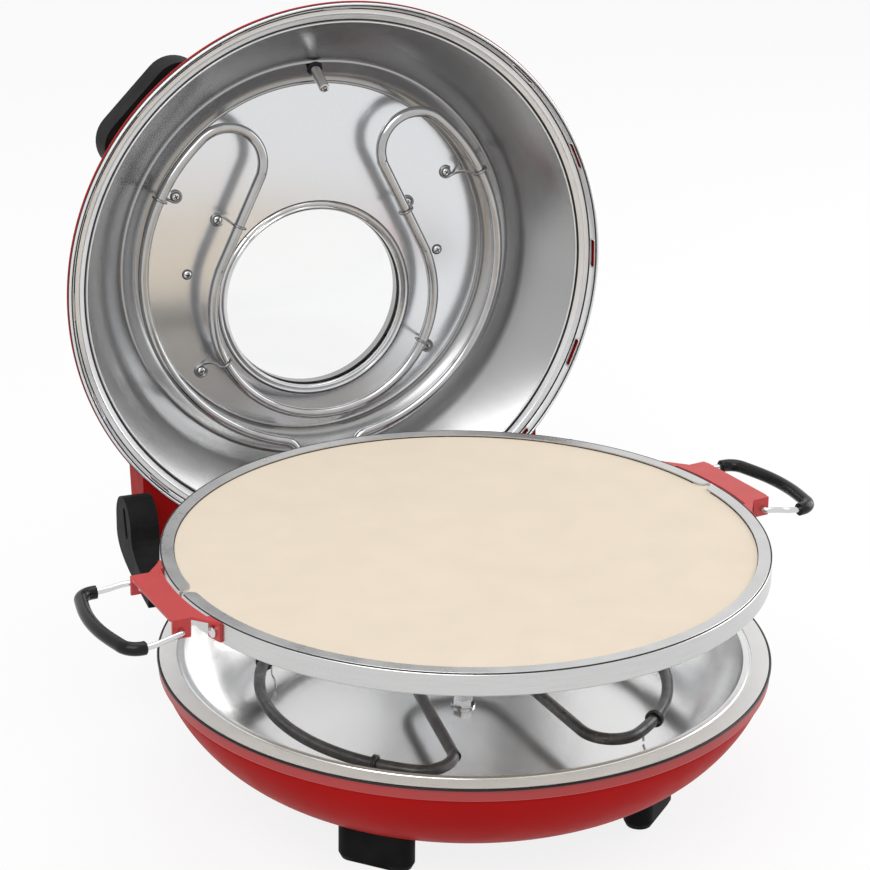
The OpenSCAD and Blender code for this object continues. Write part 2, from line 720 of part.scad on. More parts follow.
module upper_bushes() {
    color("linen") lid_place() element_ends(upper_exit, upper_drop) bush(bush_l);
}

// Middle line of a wire hook: an eye on the floor round the origin, and a hook over a tube that
// passes at the distance d along +x, rise above the floor.
function hook_path(eye_r, d, rise) = let (loop = tube_r + clip_r + hook_play, low = clip_r + tiny)
    concat([for (a = [340:-25:90]) [eye_r * cos(a), eye_r * sin(a), low]],
        [for (q = bezier([0, low], [0.7 * (d - loop), low], [d - loop, rise * 0.45], [d - loop, rise], 8))
            if (q[0] > 0.3) [q[0], eye_r, q[1]]],
        [for (a = [155:-25:-70]) [d + loop * cos(a), eye_r, rise + loop * sin(a)]]);

// Screws that hold a hook: place of the screw, and distance and angle from there to the tube.
function hook_places() = let (
    rim = [88, -47],
    leg = [62, -30],
    bow = [75, 66],
    to_bow = bow - [0, upper_bow_back])
    [[rim, bow_r - norm(rim), atan2(rim[1], rim[0])],
    [leg, leg_gap(leg), leg_angle() + 90],
    [bow, norm(to_bow) - upper_bow_r, atan2(-to_bow[1], -to_bow[0])]];

// Straight leg of the upper heater between a lobe and the inner bow, as its two ends.
function leg_ends() = let (half = element_half(upper_lobe_r, upper_lobe_a, upper_bow_r, upper_bow_back, upper_exit),
    n = len(half)) [for (k = [n - 18, n - 17]) [-half[k][0], half[k][1]]];
function leg_angle() = let (e = leg_ends(), v = e[1] - e[0]) atan2(v[1], v[0]);
function leg_gap(q) = let (e = leg_ends(), a = leg_angle() + 90) (e[0] - q) * [cos(a), sin(a)];

module upper_clips() {
    color("gray") lid_place() for (left = [true, false], q = hook_places()) on_sides(left)
        translate([q[0][0], q[0][1], lid_pan_depth]) rotate([0, 0, q[2]]) mirror([0, 0, 1])
            wire(hook_path(pan_head_r + clip_r + 2 * tiny, q[1], lid_pan_depth - upper_drop), clip_r, 8);
}

module at_pan_screws() {
    for (s = [-1, 1], q = [[88, -47], [62, -30], [82, 3], [75, 66]])
        translate([s * q[0], q[1], lid_pan_depth]) children();
}

module pan_screws() {
    color(steel) lid_place() at_pan_screws() {
        translate([0, 0, -1.6]) cylinder(r = pan_head_r, h = 1.6 - tiny, $fn = 32);
        translate([0, 0, -1]) cylinder(r = pan_screw_r, h = 1 + steel_sheet + 3, $fn = 24);
    }
}

module probe_axis() {
    translate([0, -probe_wall_r, probe_wall_z]) rotate([204, 0, 0]) children();
}

module probe() {
    color(steel) lid_place() probe_axis() {
        translate([0, 0, -7]) cylinder(r = probe_r, h = probe_l + 4, $fn = 32);
        translate([0, 0, probe_l - 3.01]) cylinder(r1 = probe_r, r2 = probe_r - 1, h = 3, $fn = 32);
    }
}

module probe_grommet() {
    color(black) lid_place() probe_axis() translate([0, 0, -3]) tube(probe_r + 2, probe_r + tiny, 6);
}

module lid_grip(left) {
    corner_r = 19;
    half = lid_grip_w / 2 - corner_r;
    corner_x = lip_r - lid_grip_in - corner_r;
    root_x = lip_r - lid_grip_root;
    color(black) lid_place() difference() {
        rotate([0, 0, left ? -lid_grip_a : lid_grip_a]) rotate([0, 0, -90]) translate([0, 0, lid_grip_z])
            linear_extrude(lid_grip_h) polygon(concat([[root_x, -lid_grip_w / 2]],
                arc([corner_x, -half], corner_r, -90, 0, 10),
                arc([corner_x, half], corner_r, 0, 90, 10), [[root_x, lid_grip_w / 2]]));
        dome_solid(tiny);
    }
}

module lid_grip_left() { lid_grip(true); }
module lid_grip_right() { lid_grip(false); }

module control_housing() {
    color(black) lid_place() difference() {
        union() {
            for (s = [-1, 1]) translate([s * control_half, -knob_off, dome_h - control_root])
                cylinder(r = control_r, h = control_h + control_root);
            translate([-control_half, -knob_off - control_r, dome_h - control_root])
                cube([2 * control_half, 2 * control_r, control_h + control_root]);
        }
        dome_solid(tiny);
        translate([0, -knob_off, dome_h - 2]) cylinder(r = shaft_r + pin_fit, h = control_h + 4, $fn = 48);
        for (x = [-lamp_x, lamp_x]) translate([x, -knob_off, dome_h + control_h - 3]) cylinder(r = 3.5 + tiny, h = 5, $fn = 32);
    }
}

module pilot_lamps() {
    color("orange") lid_place() for (x = [-lamp_x, lamp_x]) translate([x, -knob_off, dome_h + control_h - 3]) {
        cylinder(r = 3.5, h = 3.5, $fn = 32);
        translate([0, 0, 3.4]) cylinder(r1 = 3.5, r2 = 2, h = 1.2, $fn = 32);
    }
}

module thermostat() {
    color("gray") lid_place() translate([0, -knob_off, lid_pan_depth + steel_sheet + tiny])
        tube(9, shaft_r + 0.4, thermostat_h);
}

module knob_shaft() {
    color(steel) lid_place() translate([0, -knob_off, dome_h - 8])
        cylinder(r = shaft_r, h = control_h + 8 + knob_h - 4, $fn = 48);
}

module temperature_knob() {
    color(black) lid_place() translate([0, -knob_off, dome_h + control_h + 0.5]) difference() {
        union() {
            cylinder(r = knob_r, h = 4);
            translate([0, 0, 3.9]) cylinder(r1 = knob_r - 1.5, r2 = knob_r - 3, h = knob_h - 4);
            translate([-2.5, -knob_r + 1, 3.9]) cube([5, 2 * knob_r - 2, knob_h - 2]);
        }
        translate([0, 0, -1]) cylinder(r = shaft_r + 0.02, h = knob_h - 3.4, $fn = 48);
    }
}

// ---- stone and carrier, drawn with the carrier's underside at z = 0 ----

module pizza_stone() {
    color([0.9, 0.86, 0.78]) tray_place() translate([0, 0, ring_sheet + 0.05]) {
        cylinder(r = stone_r, h = stone_h - 1, $fn = 180);
        translate([0, 0, stone_h - 1.01]) cylinder(r1 = stone_r, r2 = stone_r - 0.6, h = 1.01, $fn = 180);
    }
}

// One half of the carrier ring, a channel bent round the stone; front is the half at -y.
module ring_half(front) {
    lap_r = ring_in - ring_lap;
    color(steel) tray_place() difference() {
        rotate_extrude($fn = 180) polygon([[ring_r - ring_sole, 0], [ring_r - 0.8, 0], [ring_r, 0.8],
            [ring_r, ring_h - 1], [ring_r - 1, ring_h], [lap_r, ring_h], [lap_r, ring_h - ring_sheet],
            [ring_in, ring_h - ring_sheet], [ring_in, ring_sheet], [ring_r - ring_sole, ring_sheet]]);
        translate([0, ring_r * sin(bail_turn), 0]) mirror([0, front ? 1 : 0, 0]) {
            translate([-ring_r - 1, -2 * ring_r, -1])
                cube([2 * ring_r + 2, 2 * ring_r + ring_split / 2, ring_h + 2]);
            for (s = [-1, 1]) translate([s * (lap_r + ring_corner - 0.3), ring_split / 2 + ring_corner,
                ring_h - ring_sheet - 0.1]) difference() {
                translate([s > 0 ? -ring_corner - 1 : 0, -ring_corner - 0.1, 0])
                    cube([ring_corner + 1, ring_corner + 0.1, 3]);
                translate([0, 0, -1]) cylinder(r = ring_corner, h = 5);
            }
        }
        at_bracket_screws() translate([0, 0, -4]) cylinder(r = 1.7, h = 8, $fn = 24);
    }
}

module ring_front() { ring_half(true); }
module ring_rear() { ring_half(false); }

// Screw axes on the ring's wall; children point along +Z outwards.
module at_bracket_screws() {
    for (side = [bail_turn, 180 - bail_turn], a = [-bracket_half, bracket_half]) rotate([0, 0, side + a])
        translate([ring_r, 0, ring_h - 6.5]) rotate([0, 90, 0]) children();
}

function round_point(r, a) = [r * cos(a), r * sin(a)];

module bracket(right) {
    plate_in = ring_r + bracket_gap;
    plate_out = plate_in + bracket_reach;
    pivot_z = ring_h - bail_drop;
    tab_y = bail_half - 4;
    tab_a = 2;
    color("indianred") tray_place() at_side(right) difference() {
        union() {
            translate([0, 0, ring_h - bracket_sheet - 0.3]) linear_extrude(bracket_sheet) polygon(concat(
                arc([0, 0], plate_in, tab_a - bracket_half, bracket_half - tab_a, 16),
                [for (a = [-tab_a, tab_a]) round_point(ring_r + 0.3, bracket_half + a)],
                [[bail_x - 6, tab_y + bracket_sheet], [plate_out - 1, tab_y + bracket_sheet], [plate_out, bracket_edge],
                [plate_out, -bracket_edge], [plate_out - 1, -tab_y - bracket_sheet], [bail_x - 6, -tab_y - bracket_sheet]],
                [for (a = [-tab_a, tab_a]) round_point(ring_r + 0.3, -bracket_half + a)]));
            for (s = [-1, 1]) {
                translate([bail_x - 5.5, s > 0 ? tab_y : -tab_y - bracket_sheet, ring_h - tab_h])
                    cube([10, bracket_sheet, tab_h - 0.4]);
                rotate([0, 0, s * bracket_half]) intersection() {
                    translate([0, 0, ring_h - tab_h]) tube(ring_r + 0.05 + bracket_sheet, ring_r + 0.05, tab_h - 0.4);
                    translate([ring_r - 5, -5, 0]) cube([10, 10, 30]);
                }
            }
        }
        translate([bail_x, -60, pivot_z]) rotate([-90, 0, 0]) cylinder(r = wire_r + pin_fit, h = 120, $fn = 32);
        for (a = [-bracket_half, bracket_half]) rotate([0, 0, a]) translate([ring_r - 4, 0, ring_h - 6.5])
            rotate([0, 90, 0]) cylinder(r = 1.7, h = 10, $fn = 24);
    }
}

module bracket_left() { bracket(false); }
module bracket_right() { bracket(true); }

module bracket_screws() {
    color(steel) tray_place() at_bracket_screws() {
        translate([0, 0, -0.9]) cylinder(r = 1.65, h = 3, $fn = 24);
        translate([0, 0, bracket_sheet + 0.1]) cylinder(r = 3, h = 1.2, $fn = 32);
        translate([0, 0, bracket_sheet + 1.25]) cylinder(r1 = 2.6, r2 = 1.6, h = 0.8, $fn = 32);
    }
}

// Middle line of a bail's wire beyond its pivot end, at the side s, from the pivot to the grip.
function bail_arm(s) = let (z = ring_h - bail_drop) [[bail_x, s * (bail_half - 1.5), z],
    [bail_x + 0.6, s * (bail_half + 0.4), z], [bail_x + 2.5, s * (bail_half + 1.8), z],
    [bail_x + 8, s * (bail_half + 3), z - 0.6], [bail_x + 15, s * (grip_half - 0.4), z - 2],
    [bail_x + 21, s * grip_half, z - 2.6]];
function bail_bow() = let (z = ring_h - bail_drop - 2.6, x = bail_x + bail_reach - grip_bulge,
    half = grip_half - grip_bend) [for (q = concat(arc([x - grip_bend, half], grip_bend, 90, 15, 5),
        [for (t = [0.75:-0.25:-0.75]) [x + grip_bulge * (1 - t * t), half * t]],
        arc([x - grip_bend, -half], grip_bend, -15, -90, 5))) [q[0], q[1], z]];

function bail_path() = concat(bail_arm(1), bail_bow(), reversed(bail_arm(-1)));

module bail(right) {
    color(steel) tray_place() at_side(right) {
        for (s = [-1, 1]) translate([bail_x, s * (bail_half - 4), ring_h - bail_drop]) rotate([90, 0, 0])
            cylinder(r = wire_r, h = 6, center = true, $fn = 32);
        wire(bail_path(), wire_r, 10);
    }
}

module bail_left() { bail(false); }
module bail_right() { bail(true); }

module bail_grip(right) {
    bow = bail_bow();
    color(black) tray_place() at_side(right) difference() {
        wire(concat([[bail_x + 21, grip_half, bow[0][2]]], bow, [[bail_x + 21, -grip_half, bow[0][2]]]), grip_r, 12);
        wire(bail_path(), wire_r + tiny, 10);
    }
}

module bail_grip_left() { bail_grip(false); }
module bail_grip_right() { bail_grip(true); }
base_shell();
base_trim();
base_pan();
lower_element();
lower_clips();
lower_bushes();
pan_washer();
pan_bolt();
foot_front_left();
foot_front_right();
foot_rear_left();
foot_rear_right();
foot_screws();
hinge_block_left();
hinge_block_right();
hinge_screws();
hinge_plates();
hinge_pin_left();
hinge_pin_right();
cord_gland();
terminal_block();
lid_shell();
lid_rim();
lid_pan();
hinge_housing();
window_glass();
window_ring();
window_bezel();
upper_element();
upper_clips();
upper_bushes();
pan_screws();
probe();
probe_grommet();
lid_grip_left();
lid_grip_right();
control_housing();
thermostat();
pilot_lamps();
temperature_knob();
knob_shaft();
pizza_stone();
ring_front();
ring_rear();
bracket_left();
bracket_right();
bracket_screws();
bail_left();
bail_right();
bail_grip_left();
bail_grip_right();
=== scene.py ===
"""Looks of a countertop pizza maker: red base, stone on a lift-out carrier, open domed lid with a window."""
import json
import math

import bmesh
import bpy
from mathutils import Matrix, Vector

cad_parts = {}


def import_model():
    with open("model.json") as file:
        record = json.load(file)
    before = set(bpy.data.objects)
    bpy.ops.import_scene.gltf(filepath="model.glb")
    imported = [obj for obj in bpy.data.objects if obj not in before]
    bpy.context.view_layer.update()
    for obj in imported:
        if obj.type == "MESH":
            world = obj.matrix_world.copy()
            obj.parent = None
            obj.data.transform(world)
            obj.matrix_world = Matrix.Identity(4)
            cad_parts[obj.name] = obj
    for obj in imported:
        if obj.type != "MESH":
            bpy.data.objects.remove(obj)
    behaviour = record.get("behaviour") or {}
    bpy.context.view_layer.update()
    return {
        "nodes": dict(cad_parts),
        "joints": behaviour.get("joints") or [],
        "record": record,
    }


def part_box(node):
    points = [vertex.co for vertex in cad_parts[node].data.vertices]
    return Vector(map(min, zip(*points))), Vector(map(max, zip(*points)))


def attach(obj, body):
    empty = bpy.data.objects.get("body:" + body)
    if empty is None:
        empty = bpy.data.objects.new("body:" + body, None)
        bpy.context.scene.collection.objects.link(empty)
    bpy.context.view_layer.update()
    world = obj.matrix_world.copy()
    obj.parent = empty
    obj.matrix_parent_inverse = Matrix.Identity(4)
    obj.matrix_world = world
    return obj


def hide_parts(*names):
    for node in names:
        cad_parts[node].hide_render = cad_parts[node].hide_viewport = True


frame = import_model()

MM = 0.001
NODES = frame["nodes"]
JOINTS = {j["name"]: j for j in frame["joints"]}


# ---- driving sizes in millimetres; the first few are read from the frame ----

def low(node):
    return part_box(node)[0] / MM


def high(node):
    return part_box(node)[1] / MM


RIM_Z = high("base_trim").z
BASE_R = high("base_trim").x
STONE_R = (high("pizza_stone").x - low("pizza_stone").x) / 2
STONE_H = high("pizza_stone").z - low("pizza_stone").z
UNDER = low("base_shell").z
PIVOT = Vector(JOINTS["lid_hinge"]["pos_m"]) / MM
LID_OPEN = math.radians(JOINTS["lid_hinge"]["range_deg"][1])
SHEET = 1.2
STEEL = 0.8

# radii of the carrier ring and the lid rim, from the stone outward
RING_PLAY = 0.3
RING_R = STONE_R + RING_PLAY + SHEET
RING_H = STONE_H + 2.5
BAND_R = RING_R + 2.5
LIP_R = BAND_R + 3.5
BAND_TOP_R = LIP_R - 1.8
BAND_IN = LIP_R - 4.1
BAND_START = 0.7
BAND_H = 5.4
FOLD_R = LIP_R - 11.5
FOLD_H = 7.2
VENT_COUNT = 16
VENT_L = 18
VENT_W = 3.2

# base
SHELL_R = BASE_R - 1
SEAT_R = RING_R - 6.5
PAN_DEPTH = 38
PAN_FLOOR_R = 104
BOWL_FLAT_R = 106
COLLAR_H = 7.2
TRIM_W = 1.4
TRIM_H = 1.1

# lid; LIP_Z is the height of its lip above the pivot when it is shut
LIP_Z = 34.2
LID_DEPTH = 56
LID_FLOOR_R = 113
DOME_H = 68
DOME_FLAT_R = 96
WINDOW_R = 57
WINDOW_OFF = 26.6
WINDOW_SEAT_R = WINDOW_R + 5.5
PROBE_TURN = 204
LID_SEGMENTS = 320

# heaters, the wires that hold them, and the screws of those wires
TUBE_R = 3.3
BOW_R = 115
LOWER_DROP = 21
UPPER_DROP = 36
UPPER_BOW_R = 72
UPPER_BOW_BACK = 24
TERMINAL_GAP = 38
END_BEND = 10
WIRE_R = 0.8
CLIP_ANGLES = (45, -45, 120, -120)
# Screws in the right half of the lid's floor; all but the free one hold a hook.
RIM_SCREW, LEG_SCREW, FREE_SCREW, BOW_SCREW = (88, -47), (62, -30), (82, 3), (75, 66)
# Direction of the upper heater's straight run beside LEG_SCREW, and its distance from that screw.
STRAIGHT_RUN = (24.8, 52)
STRAIGHT_OFF = 7.2

# carrier and its wire handles
TRAY_TURN = 8
RING_LAP = 6.2
BAIL_DROP = 6.5
BAIL_X = RING_R + 11.7
BAIL_WIRE = 1.6
BAIL_HALF = 33
GRIP_HALF = 37
BAIL_REACH = 36
GRIP_BEND = 9
GRIP_BULGE = 4
BAIL_TURN = 2.6
GRIP_R = 3.6


# ---- places ----

def place(*steps):
    out = Matrix.Identity(4)
    for step in steps:
        out = out @ step
    return out


def shift(x, y, z):
    return Matrix.Translation((x, y, z))


def turn(degrees, axis):
    return Matrix.Rotation(math.radians(degrees), 4, axis)


BASE = Matrix.Identity(4)
LID = place(shift(0, PIVOT.y, PIVOT.z), Matrix.Rotation(-LID_OPEN, 4, "X"), shift(0, -PIVOT.y, LIP_Z))
STONE_MID = (low("pizza_stone") + high("pizza_stone")) / 2
TRAY = place(shift(STONE_MID.x, STONE_MID.y, low("ring_front").z), turn(TRAY_TURN, "Z"))


# ---- materials ----

def nodes_of(name):
    mat = bpy.data.materials.new(name)
    mat.use_nodes = True
    tree = mat.node_tree
    return mat, tree, tree.nodes["Principled BSDF"]


def noise(tree, scale, detail=3.0, stretch=(1, 1, 1)):
    coords = tree.nodes.new("ShaderNodeTexCoord")
    mapping = tree.nodes.new("ShaderNodeMapping")
    mapping.inputs["Scale"].default_value = stretch
    tree.links.new(coords.outputs["Object"], mapping.inputs["Vector"])
    tex = tree.nodes.new("ShaderNodeTexNoise")
    tex.inputs["Scale"].default_value = scale
    tex.inputs["Detail"].default_value = detail
    tree.links.new(mapping.outputs["Vector"], tex.inputs["Vector"])
    return tex.outputs["Fac"]


def span(tree, fac, low_value, high_value, start=0.3, end=0.7):
    ramp = tree.nodes.new("ShaderNodeMapRange")
    ramp.inputs["From Min"].default_value = start
    ramp.inputs["From Max"].default_value = end
    ramp.inputs["To Min"].default_value = low_value
    ramp.inputs["To Max"].default_value = high_value
    tree.links.new(fac, ramp.inputs["Value"])
    return ramp.outputs["Result"]


def two_tone(tree, shader, color, less, more, fac):
    """Base colour that runs from a little darker to a little lighter as fac goes from 0 to 1."""
    mix = tree.nodes.new("ShaderNodeMix")
    mix.data_type = "RGBA"
    mix.inputs["A"].default_value = (*[c * (1 - less) for c in color], 1)
    mix.inputs["B"].default_value = (*[min(1, c * (1 + more)) for c in color], 1)
    tree.links.new(fac, mix.inputs["Factor"])
    tree.links.new(mix.outputs["Result"], shader.inputs["Base Color"])


def relief(tree, shader, height, strength, distance):
    bump = tree.nodes.new("ShaderNodeBump")
    bump.inputs["Strength"].default_value = strength
    bump.inputs["Distance"].default_value = distance
    tree.links.new(height, bump.inputs["Height"])
    tree.links.new(bump.outputs["Normal"], shader.inputs["Normal"])


def surface(name, color, rough, metal=0.0, vary=0.06, vary_scale=40, rough_vary=0.04, rough_scale=90,
            grain=0.0, grain_scale=1500, grain_depth=0.0002, coat=0.0, coat_rough=0.08, specular=0.5):
    """A material whose colour, roughness and relief vary a little over the surface."""
    mat, tree, shader = nodes_of(name)
    two_tone(tree, shader, color, vary, vary, span(tree, noise(tree, vary_scale), 0, 1))
    tree.links.new(span(tree, noise(tree, rough_scale, 5), max(0.02, rough - rough_vary), rough + rough_vary),
                   shader.inputs["Roughness"])
    shader.inputs["Metallic"].default_value = metal
    shader.inputs["Specular IOR Level"].default_value = specular
    shader.inputs["Coat Weight"].default_value = coat
    shader.inputs["Coat Roughness"].default_value = coat_rough
    if grain:
        relief(tree, shader, noise(tree, grain_scale, 2), grain, grain_depth)
    return mat


def steel(name, color, rough, grain, scale, vary):
    """Pressed sheet steel: fine orange-peel grain, faint cloudy marks and slightly uneven polish."""
    mat, tree, shader = nodes_of(name)
    fine, cloud = noise(tree, scale, 2), noise(tree, 16, 3)
    blend = tree.nodes.new("ShaderNodeMix")
    blend.data_type = "FLOAT"
    blend.inputs["Factor"].default_value = 0.3
    tree.links.new(fine, blend.inputs["A"])
    tree.links.new(cloud, blend.inputs["B"])
    two_tone(tree, shader, color, vary, vary, span(tree, blend.outputs["Result"], 0, 1))
    tree.links.new(span(tree, noise(tree, 25, 2), rough * 0.94, rough * 1.06), shader.inputs["Roughness"])
    shader.inputs["Metallic"].default_value = 1.0
    relief(tree, shader, fine, grain, 0.00015)
    return mat


def brushed(name, color, rough, stretch):
    """Steel brushed across the stretched direction."""
    mat, tree, shader = nodes_of(name)
    lines = noise(tree, 60, 6, stretch)
    two_tone(tree, shader, color, 0.05, 0.04, span(tree, lines, 0, 1))
    tree.links.new(span(tree, lines, rough * 0.85, rough * 1.15), shader.inputs["Roughness"])
    shader.inputs["Metallic"].default_value = 1.0
    relief(tree, shader, lines, 0.05, 0.0001)
    return mat


RED = surface("red_enamel", (0.38, 0.010, 0.010), 0.38, vary=0.05, vary_scale=14, grain=0.05, grain_scale=900,
              specular=0.015)
# The collar's copy of the red enamel: its slightly lighter, pinker base colour is a painted sheen; its higher
# specular gives real gloss.
COLLAR_RED_SHEEN = surface("collar_enamel_painted_sheen", (0.38, 0.013, 0.013), 0.36, vary=0.05, vary_scale=14, specular=0.75)
BRACKET_RED = surface("bracket_enamel", (0.48, 0.035, 0.035), 0.38, vary=0.06, grain=0.1, grain_scale=1800,
                      coat=0.08, coat_rough=0.2, specular=0.4)
BLACK = surface("black_plastic", (0.011, 0.011, 0.0115), 0.55, vary=0.3, vary_scale=60, grain=0.3,
                grain_scale=4200, grain_depth=0.0001, specular=0.05)
GRIP_BLACK = surface("grip_rubber", (0.004, 0.004, 0.004), 0.2, vary=0.3, vary_scale=90, grain=0.15,
                     grain_scale=2500, grain_depth=0.0001, specular=0.25)
TRIM_BLACK = surface("trim_black", (0.008, 0.008, 0.008), 0.4, vary=0.2, grain=0.1, grain_scale=3000,
                     specular=0.3)
# Satin steel kept far darker than the base pan's reflector steel: painted dark reflections on the lid cone.
SATIN_PAINTED_DARK = steel("satin_steel_painted_dark", (0.37, 0.37, 0.37), 0.25, 0.12, 1700, 0.04)
PAN_STEEL = steel("pan_steel", (0.77, 0.77, 0.768), 0.2, 0.12, 1500, 0.04)
# Paler and far less metallic than the pan beneath it: painted light, so the flange stays bright where it lies
# in the stone's shade and would reflect the stone's dark underside.
FLANGE_PAINTED_LIGHT = surface("flange_steel_painted_light", (0.86, 0.865, 0.87), 0.42, 0.25, vary=0.02, grain=0.1, grain_scale=1500)
LIP_STEEL = surface("lip_steel", (0.74, 0.745, 0.755), 0.2, 0.55, vary=0.03, grain=0.04, grain_scale=1500)
MIRROR = steel("mirror_steel", (0.745, 0.755, 0.775), 0.19, 0.02, 900, 0.02)
CHROME = surface("bright_steel", (0.64, 0.64, 0.65), 0.1, 1.0, vary=0.03, vary_scale=60, rough_vary=0.03,
                 grain=0.05, grain_scale=900)
HEATER_DARK = surface("dark_heater", (0.10, 0.10, 0.105), 0.35, 0.6, vary=0.3, vary_scale=120, rough_vary=0.1,
                      grain=0.35, grain_scale=2600)
HEATER_BRIGHT = surface("bright_heater", (0.44, 0.44, 0.445), 0.12, 1.0, vary=0.08, vary_scale=70,
                        rough_vary=0.05, rough_scale=300, grain=0.08, grain_scale=1200)
RING_METAL = brushed("ring_metal", (0.60, 0.60, 0.597), 0.3, (1, 1, 26))
STONE = surface("cordierite", (0.705, 0.613, 0.497), 0.85, vary=0.02, vary_scale=45, rough_vary=0.06,
                grain=0.45, grain_scale=1300, specular=0.2)
CERAMIC = surface("ceramic", (0.8, 0.78, 0.72), 0.6, grain=0.3, grain_scale=1500)
LAMP = surface("lamp_amber", (0.9, 0.28, 0.03), 0.15, coat=0.6)
# Near-black for thin rings and bars that paint shade into gaps, creases and recesses, and a dark reflection
# on the carrier ring's rounded edge; the steel is not this colour.
PAINTED_SHADE_DARK = surface("painted_shade_line", (0.03, 0.03, 0.03), 0.5, 0.5, vary=0.2, specular=0.2)
WIRE_DARK = surface("scaled_wire", (0.06, 0.06, 0.06), 0.35, 0.7, vary=0.3, vary_scale=200, grain=0.2)
WIRE_STEEL = surface("wire_steel", (0.26, 0.26, 0.26), 0.22, 1.0, vary=0.2, vary_scale=200, grain=0.1)
PLATE = surface("plated_steel", (0.5, 0.5, 0.5), 0.35, 0.9, vary=0.1, grain=0.2)


def glass_material():
    mat, tree, shader = nodes_of("window_glass")
    shader.inputs["Base Color"].default_value = (0.94, 0.945, 0.945, 1)
    shader.inputs["Transmission Weight"].default_value = 1.0
    shader.inputs["IOR"].default_value = 1.3
    tree.links.new(span(tree, noise(tree, 20), 0.0, 0.015), shader.inputs["Roughness"])
    return mat


GLASS = glass_material()
SLOTS = {"red_enamel": RED, "bracket_red": BRACKET_RED, "black_plastic": BLACK, "reflector_steel": SATIN_PAINTED_DARK,
         "bright_steel": CHROME, "ring_steel": RING_METAL, "dark_heater": HEATER_DARK, "stone": STONE,
         "clear_glass": GLASS, "ceramic": CERAMIC, "lamp_plastic": LAMP}


# ---- mesh helpers; all points are in millimetres ----

SHARP = 35


def finish_mesh(name, verts, faces, material, body, where, sharp=SHARP):
    """Makes an object that rides on the body; edges sharper than the given degrees are not smoothed."""
    mesh = bpy.data.meshes.new(name)
    scale = Matrix.Scale(MM, 4)
    mesh.from_pydata([scale @ where @ Vector(v) for v in verts], [], faces)
    mesh.validate()
    build = bmesh.new()
    build.from_mesh(mesh)
    bmesh.ops.recalc_face_normals(build, faces=build.faces)
    build.to_mesh(mesh)
    build.free()
    mesh.polygons.foreach_set("use_smooth", [True] * len(mesh.polygons))
    mesh.set_sharp_from_angle(angle=math.radians(sharp))
    obj = bpy.data.objects.new(name, mesh)
    bpy.context.scene.collection.objects.link(obj)
    obj.data.materials.append(material)
    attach(obj, body)
    return obj


def lathe(name, profile, material, body, where=BASE, segments=256):
    """Closed ring or solid of revolution about z; profile is a closed loop of (radius, height)."""
    verts, faces, rings = [], [], []
    for r, z in profile:
        if r < 1e-6:
            verts.append((0, 0, z))
            rings.append([len(verts) - 1] * segments)
        else:
            first = len(verts)
            for k in range(segments):
                a = 2 * math.pi * k / segments
                verts.append((r * math.cos(a), r * math.sin(a), z))
            rings.append(list(range(first, first + segments)))
    for i in range(len(profile)):
        one, two = rings[i], rings[(i + 1) % len(rings)]
        if profile[i][0] < 1e-6 and profile[(i + 1) % len(rings)][0] < 1e-6:
            continue
        for k in range(segments):
            n = (k + 1) % segments
            quad = [one[k], one[n], two[n], two[k]]
            face = [v for j, v in enumerate(quad) if v not in quad[:j]]
            faces.append(face)
    return finish_mesh(name, verts, faces, material, body, where)


def sweep(name, path, radius, material, body, where=BASE, sides=20, closed=False, round_ends=True):
    """Round tube along points; radius is a number or one value per point."""
    pts = [Vector(p) for p in path]
    radii = radius if hasattr(radius, "__len__") else [radius] * len(pts)
    count = len(pts)
    tangents = []
    for i in range(count):
        a = pts[(i - 1) % count] if closed or i else pts[i]
        b = pts[(i + 1) % count] if closed or i < count - 1 else pts[i]
        tangents.append((b - a).normalized())
    up = Vector((0, 0, 1)) if abs(tangents[0].z) < 0.9 else Vector((1, 0, 0))
    verts, faces = [], []
    for i in range(count):
        side = tangents[i].cross(up).normalized()
        up = side.cross(tangents[i]).normalized()
        for k in range(sides):
            a = 2 * math.pi * k / sides
            verts.append(pts[i] + radii[i] * (math.cos(a) * side + math.sin(a) * up))
    last = count if closed else count - 1
    for i in range(last):
        a, b = i * sides, ((i + 1) % count) * sides
        faces += [(a + k, a + (k + 1) % sides, b + (k + 1) % sides, b + k) for k in range(sides)]
    if not closed:
        for start, tip in ((0, -1), ((count - 1) * sides, 1)):
            i = 0 if tip < 0 else count - 1
            bulge = radii[i] * 0.35 if round_ends else 0
            verts.append(pts[i] + tangents[i] * tip * bulge)
            apex = len(verts) - 1
            faces += [(start + k, start + (k + 1) % sides, apex) for k in range(sides)]
    return finish_mesh(name, verts, faces, material, body, where, 50)


def bezier(a, b, c, d, n):
    out = []
    for i in range(n + 1):
        t = i / n
        u = 1 - t
        out.append(tuple(u**3 * p + 3 * u * u * t * q + 3 * u * t * t * r + t**3 * s
                         for p, q, r, s in zip(a, b, c, d)))
    return out


def arc(c, r, a0, a1, n):
    return [(c[0] + r * math.cos(math.radians(a0 + (a1 - a0) * i / n)),
             c[1] + r * math.sin(math.radians(a0 + (a1 - a0) * i / n))) for i in range(n + 1)]


def inset(path, t):
    """The path moved to its left by t."""
    out = []
    for i, p in enumerate(path):
        a, b = path[max(i - 1, 0)], path[min(i + 1, len(path) - 1)]
        dx, dy = b[0] - a[0], b[1] - a[1]
        length = math.hypot(dx, dy)
        out.append((p[0] - t * dy / length, p[1] + t * dx / length))
    return out


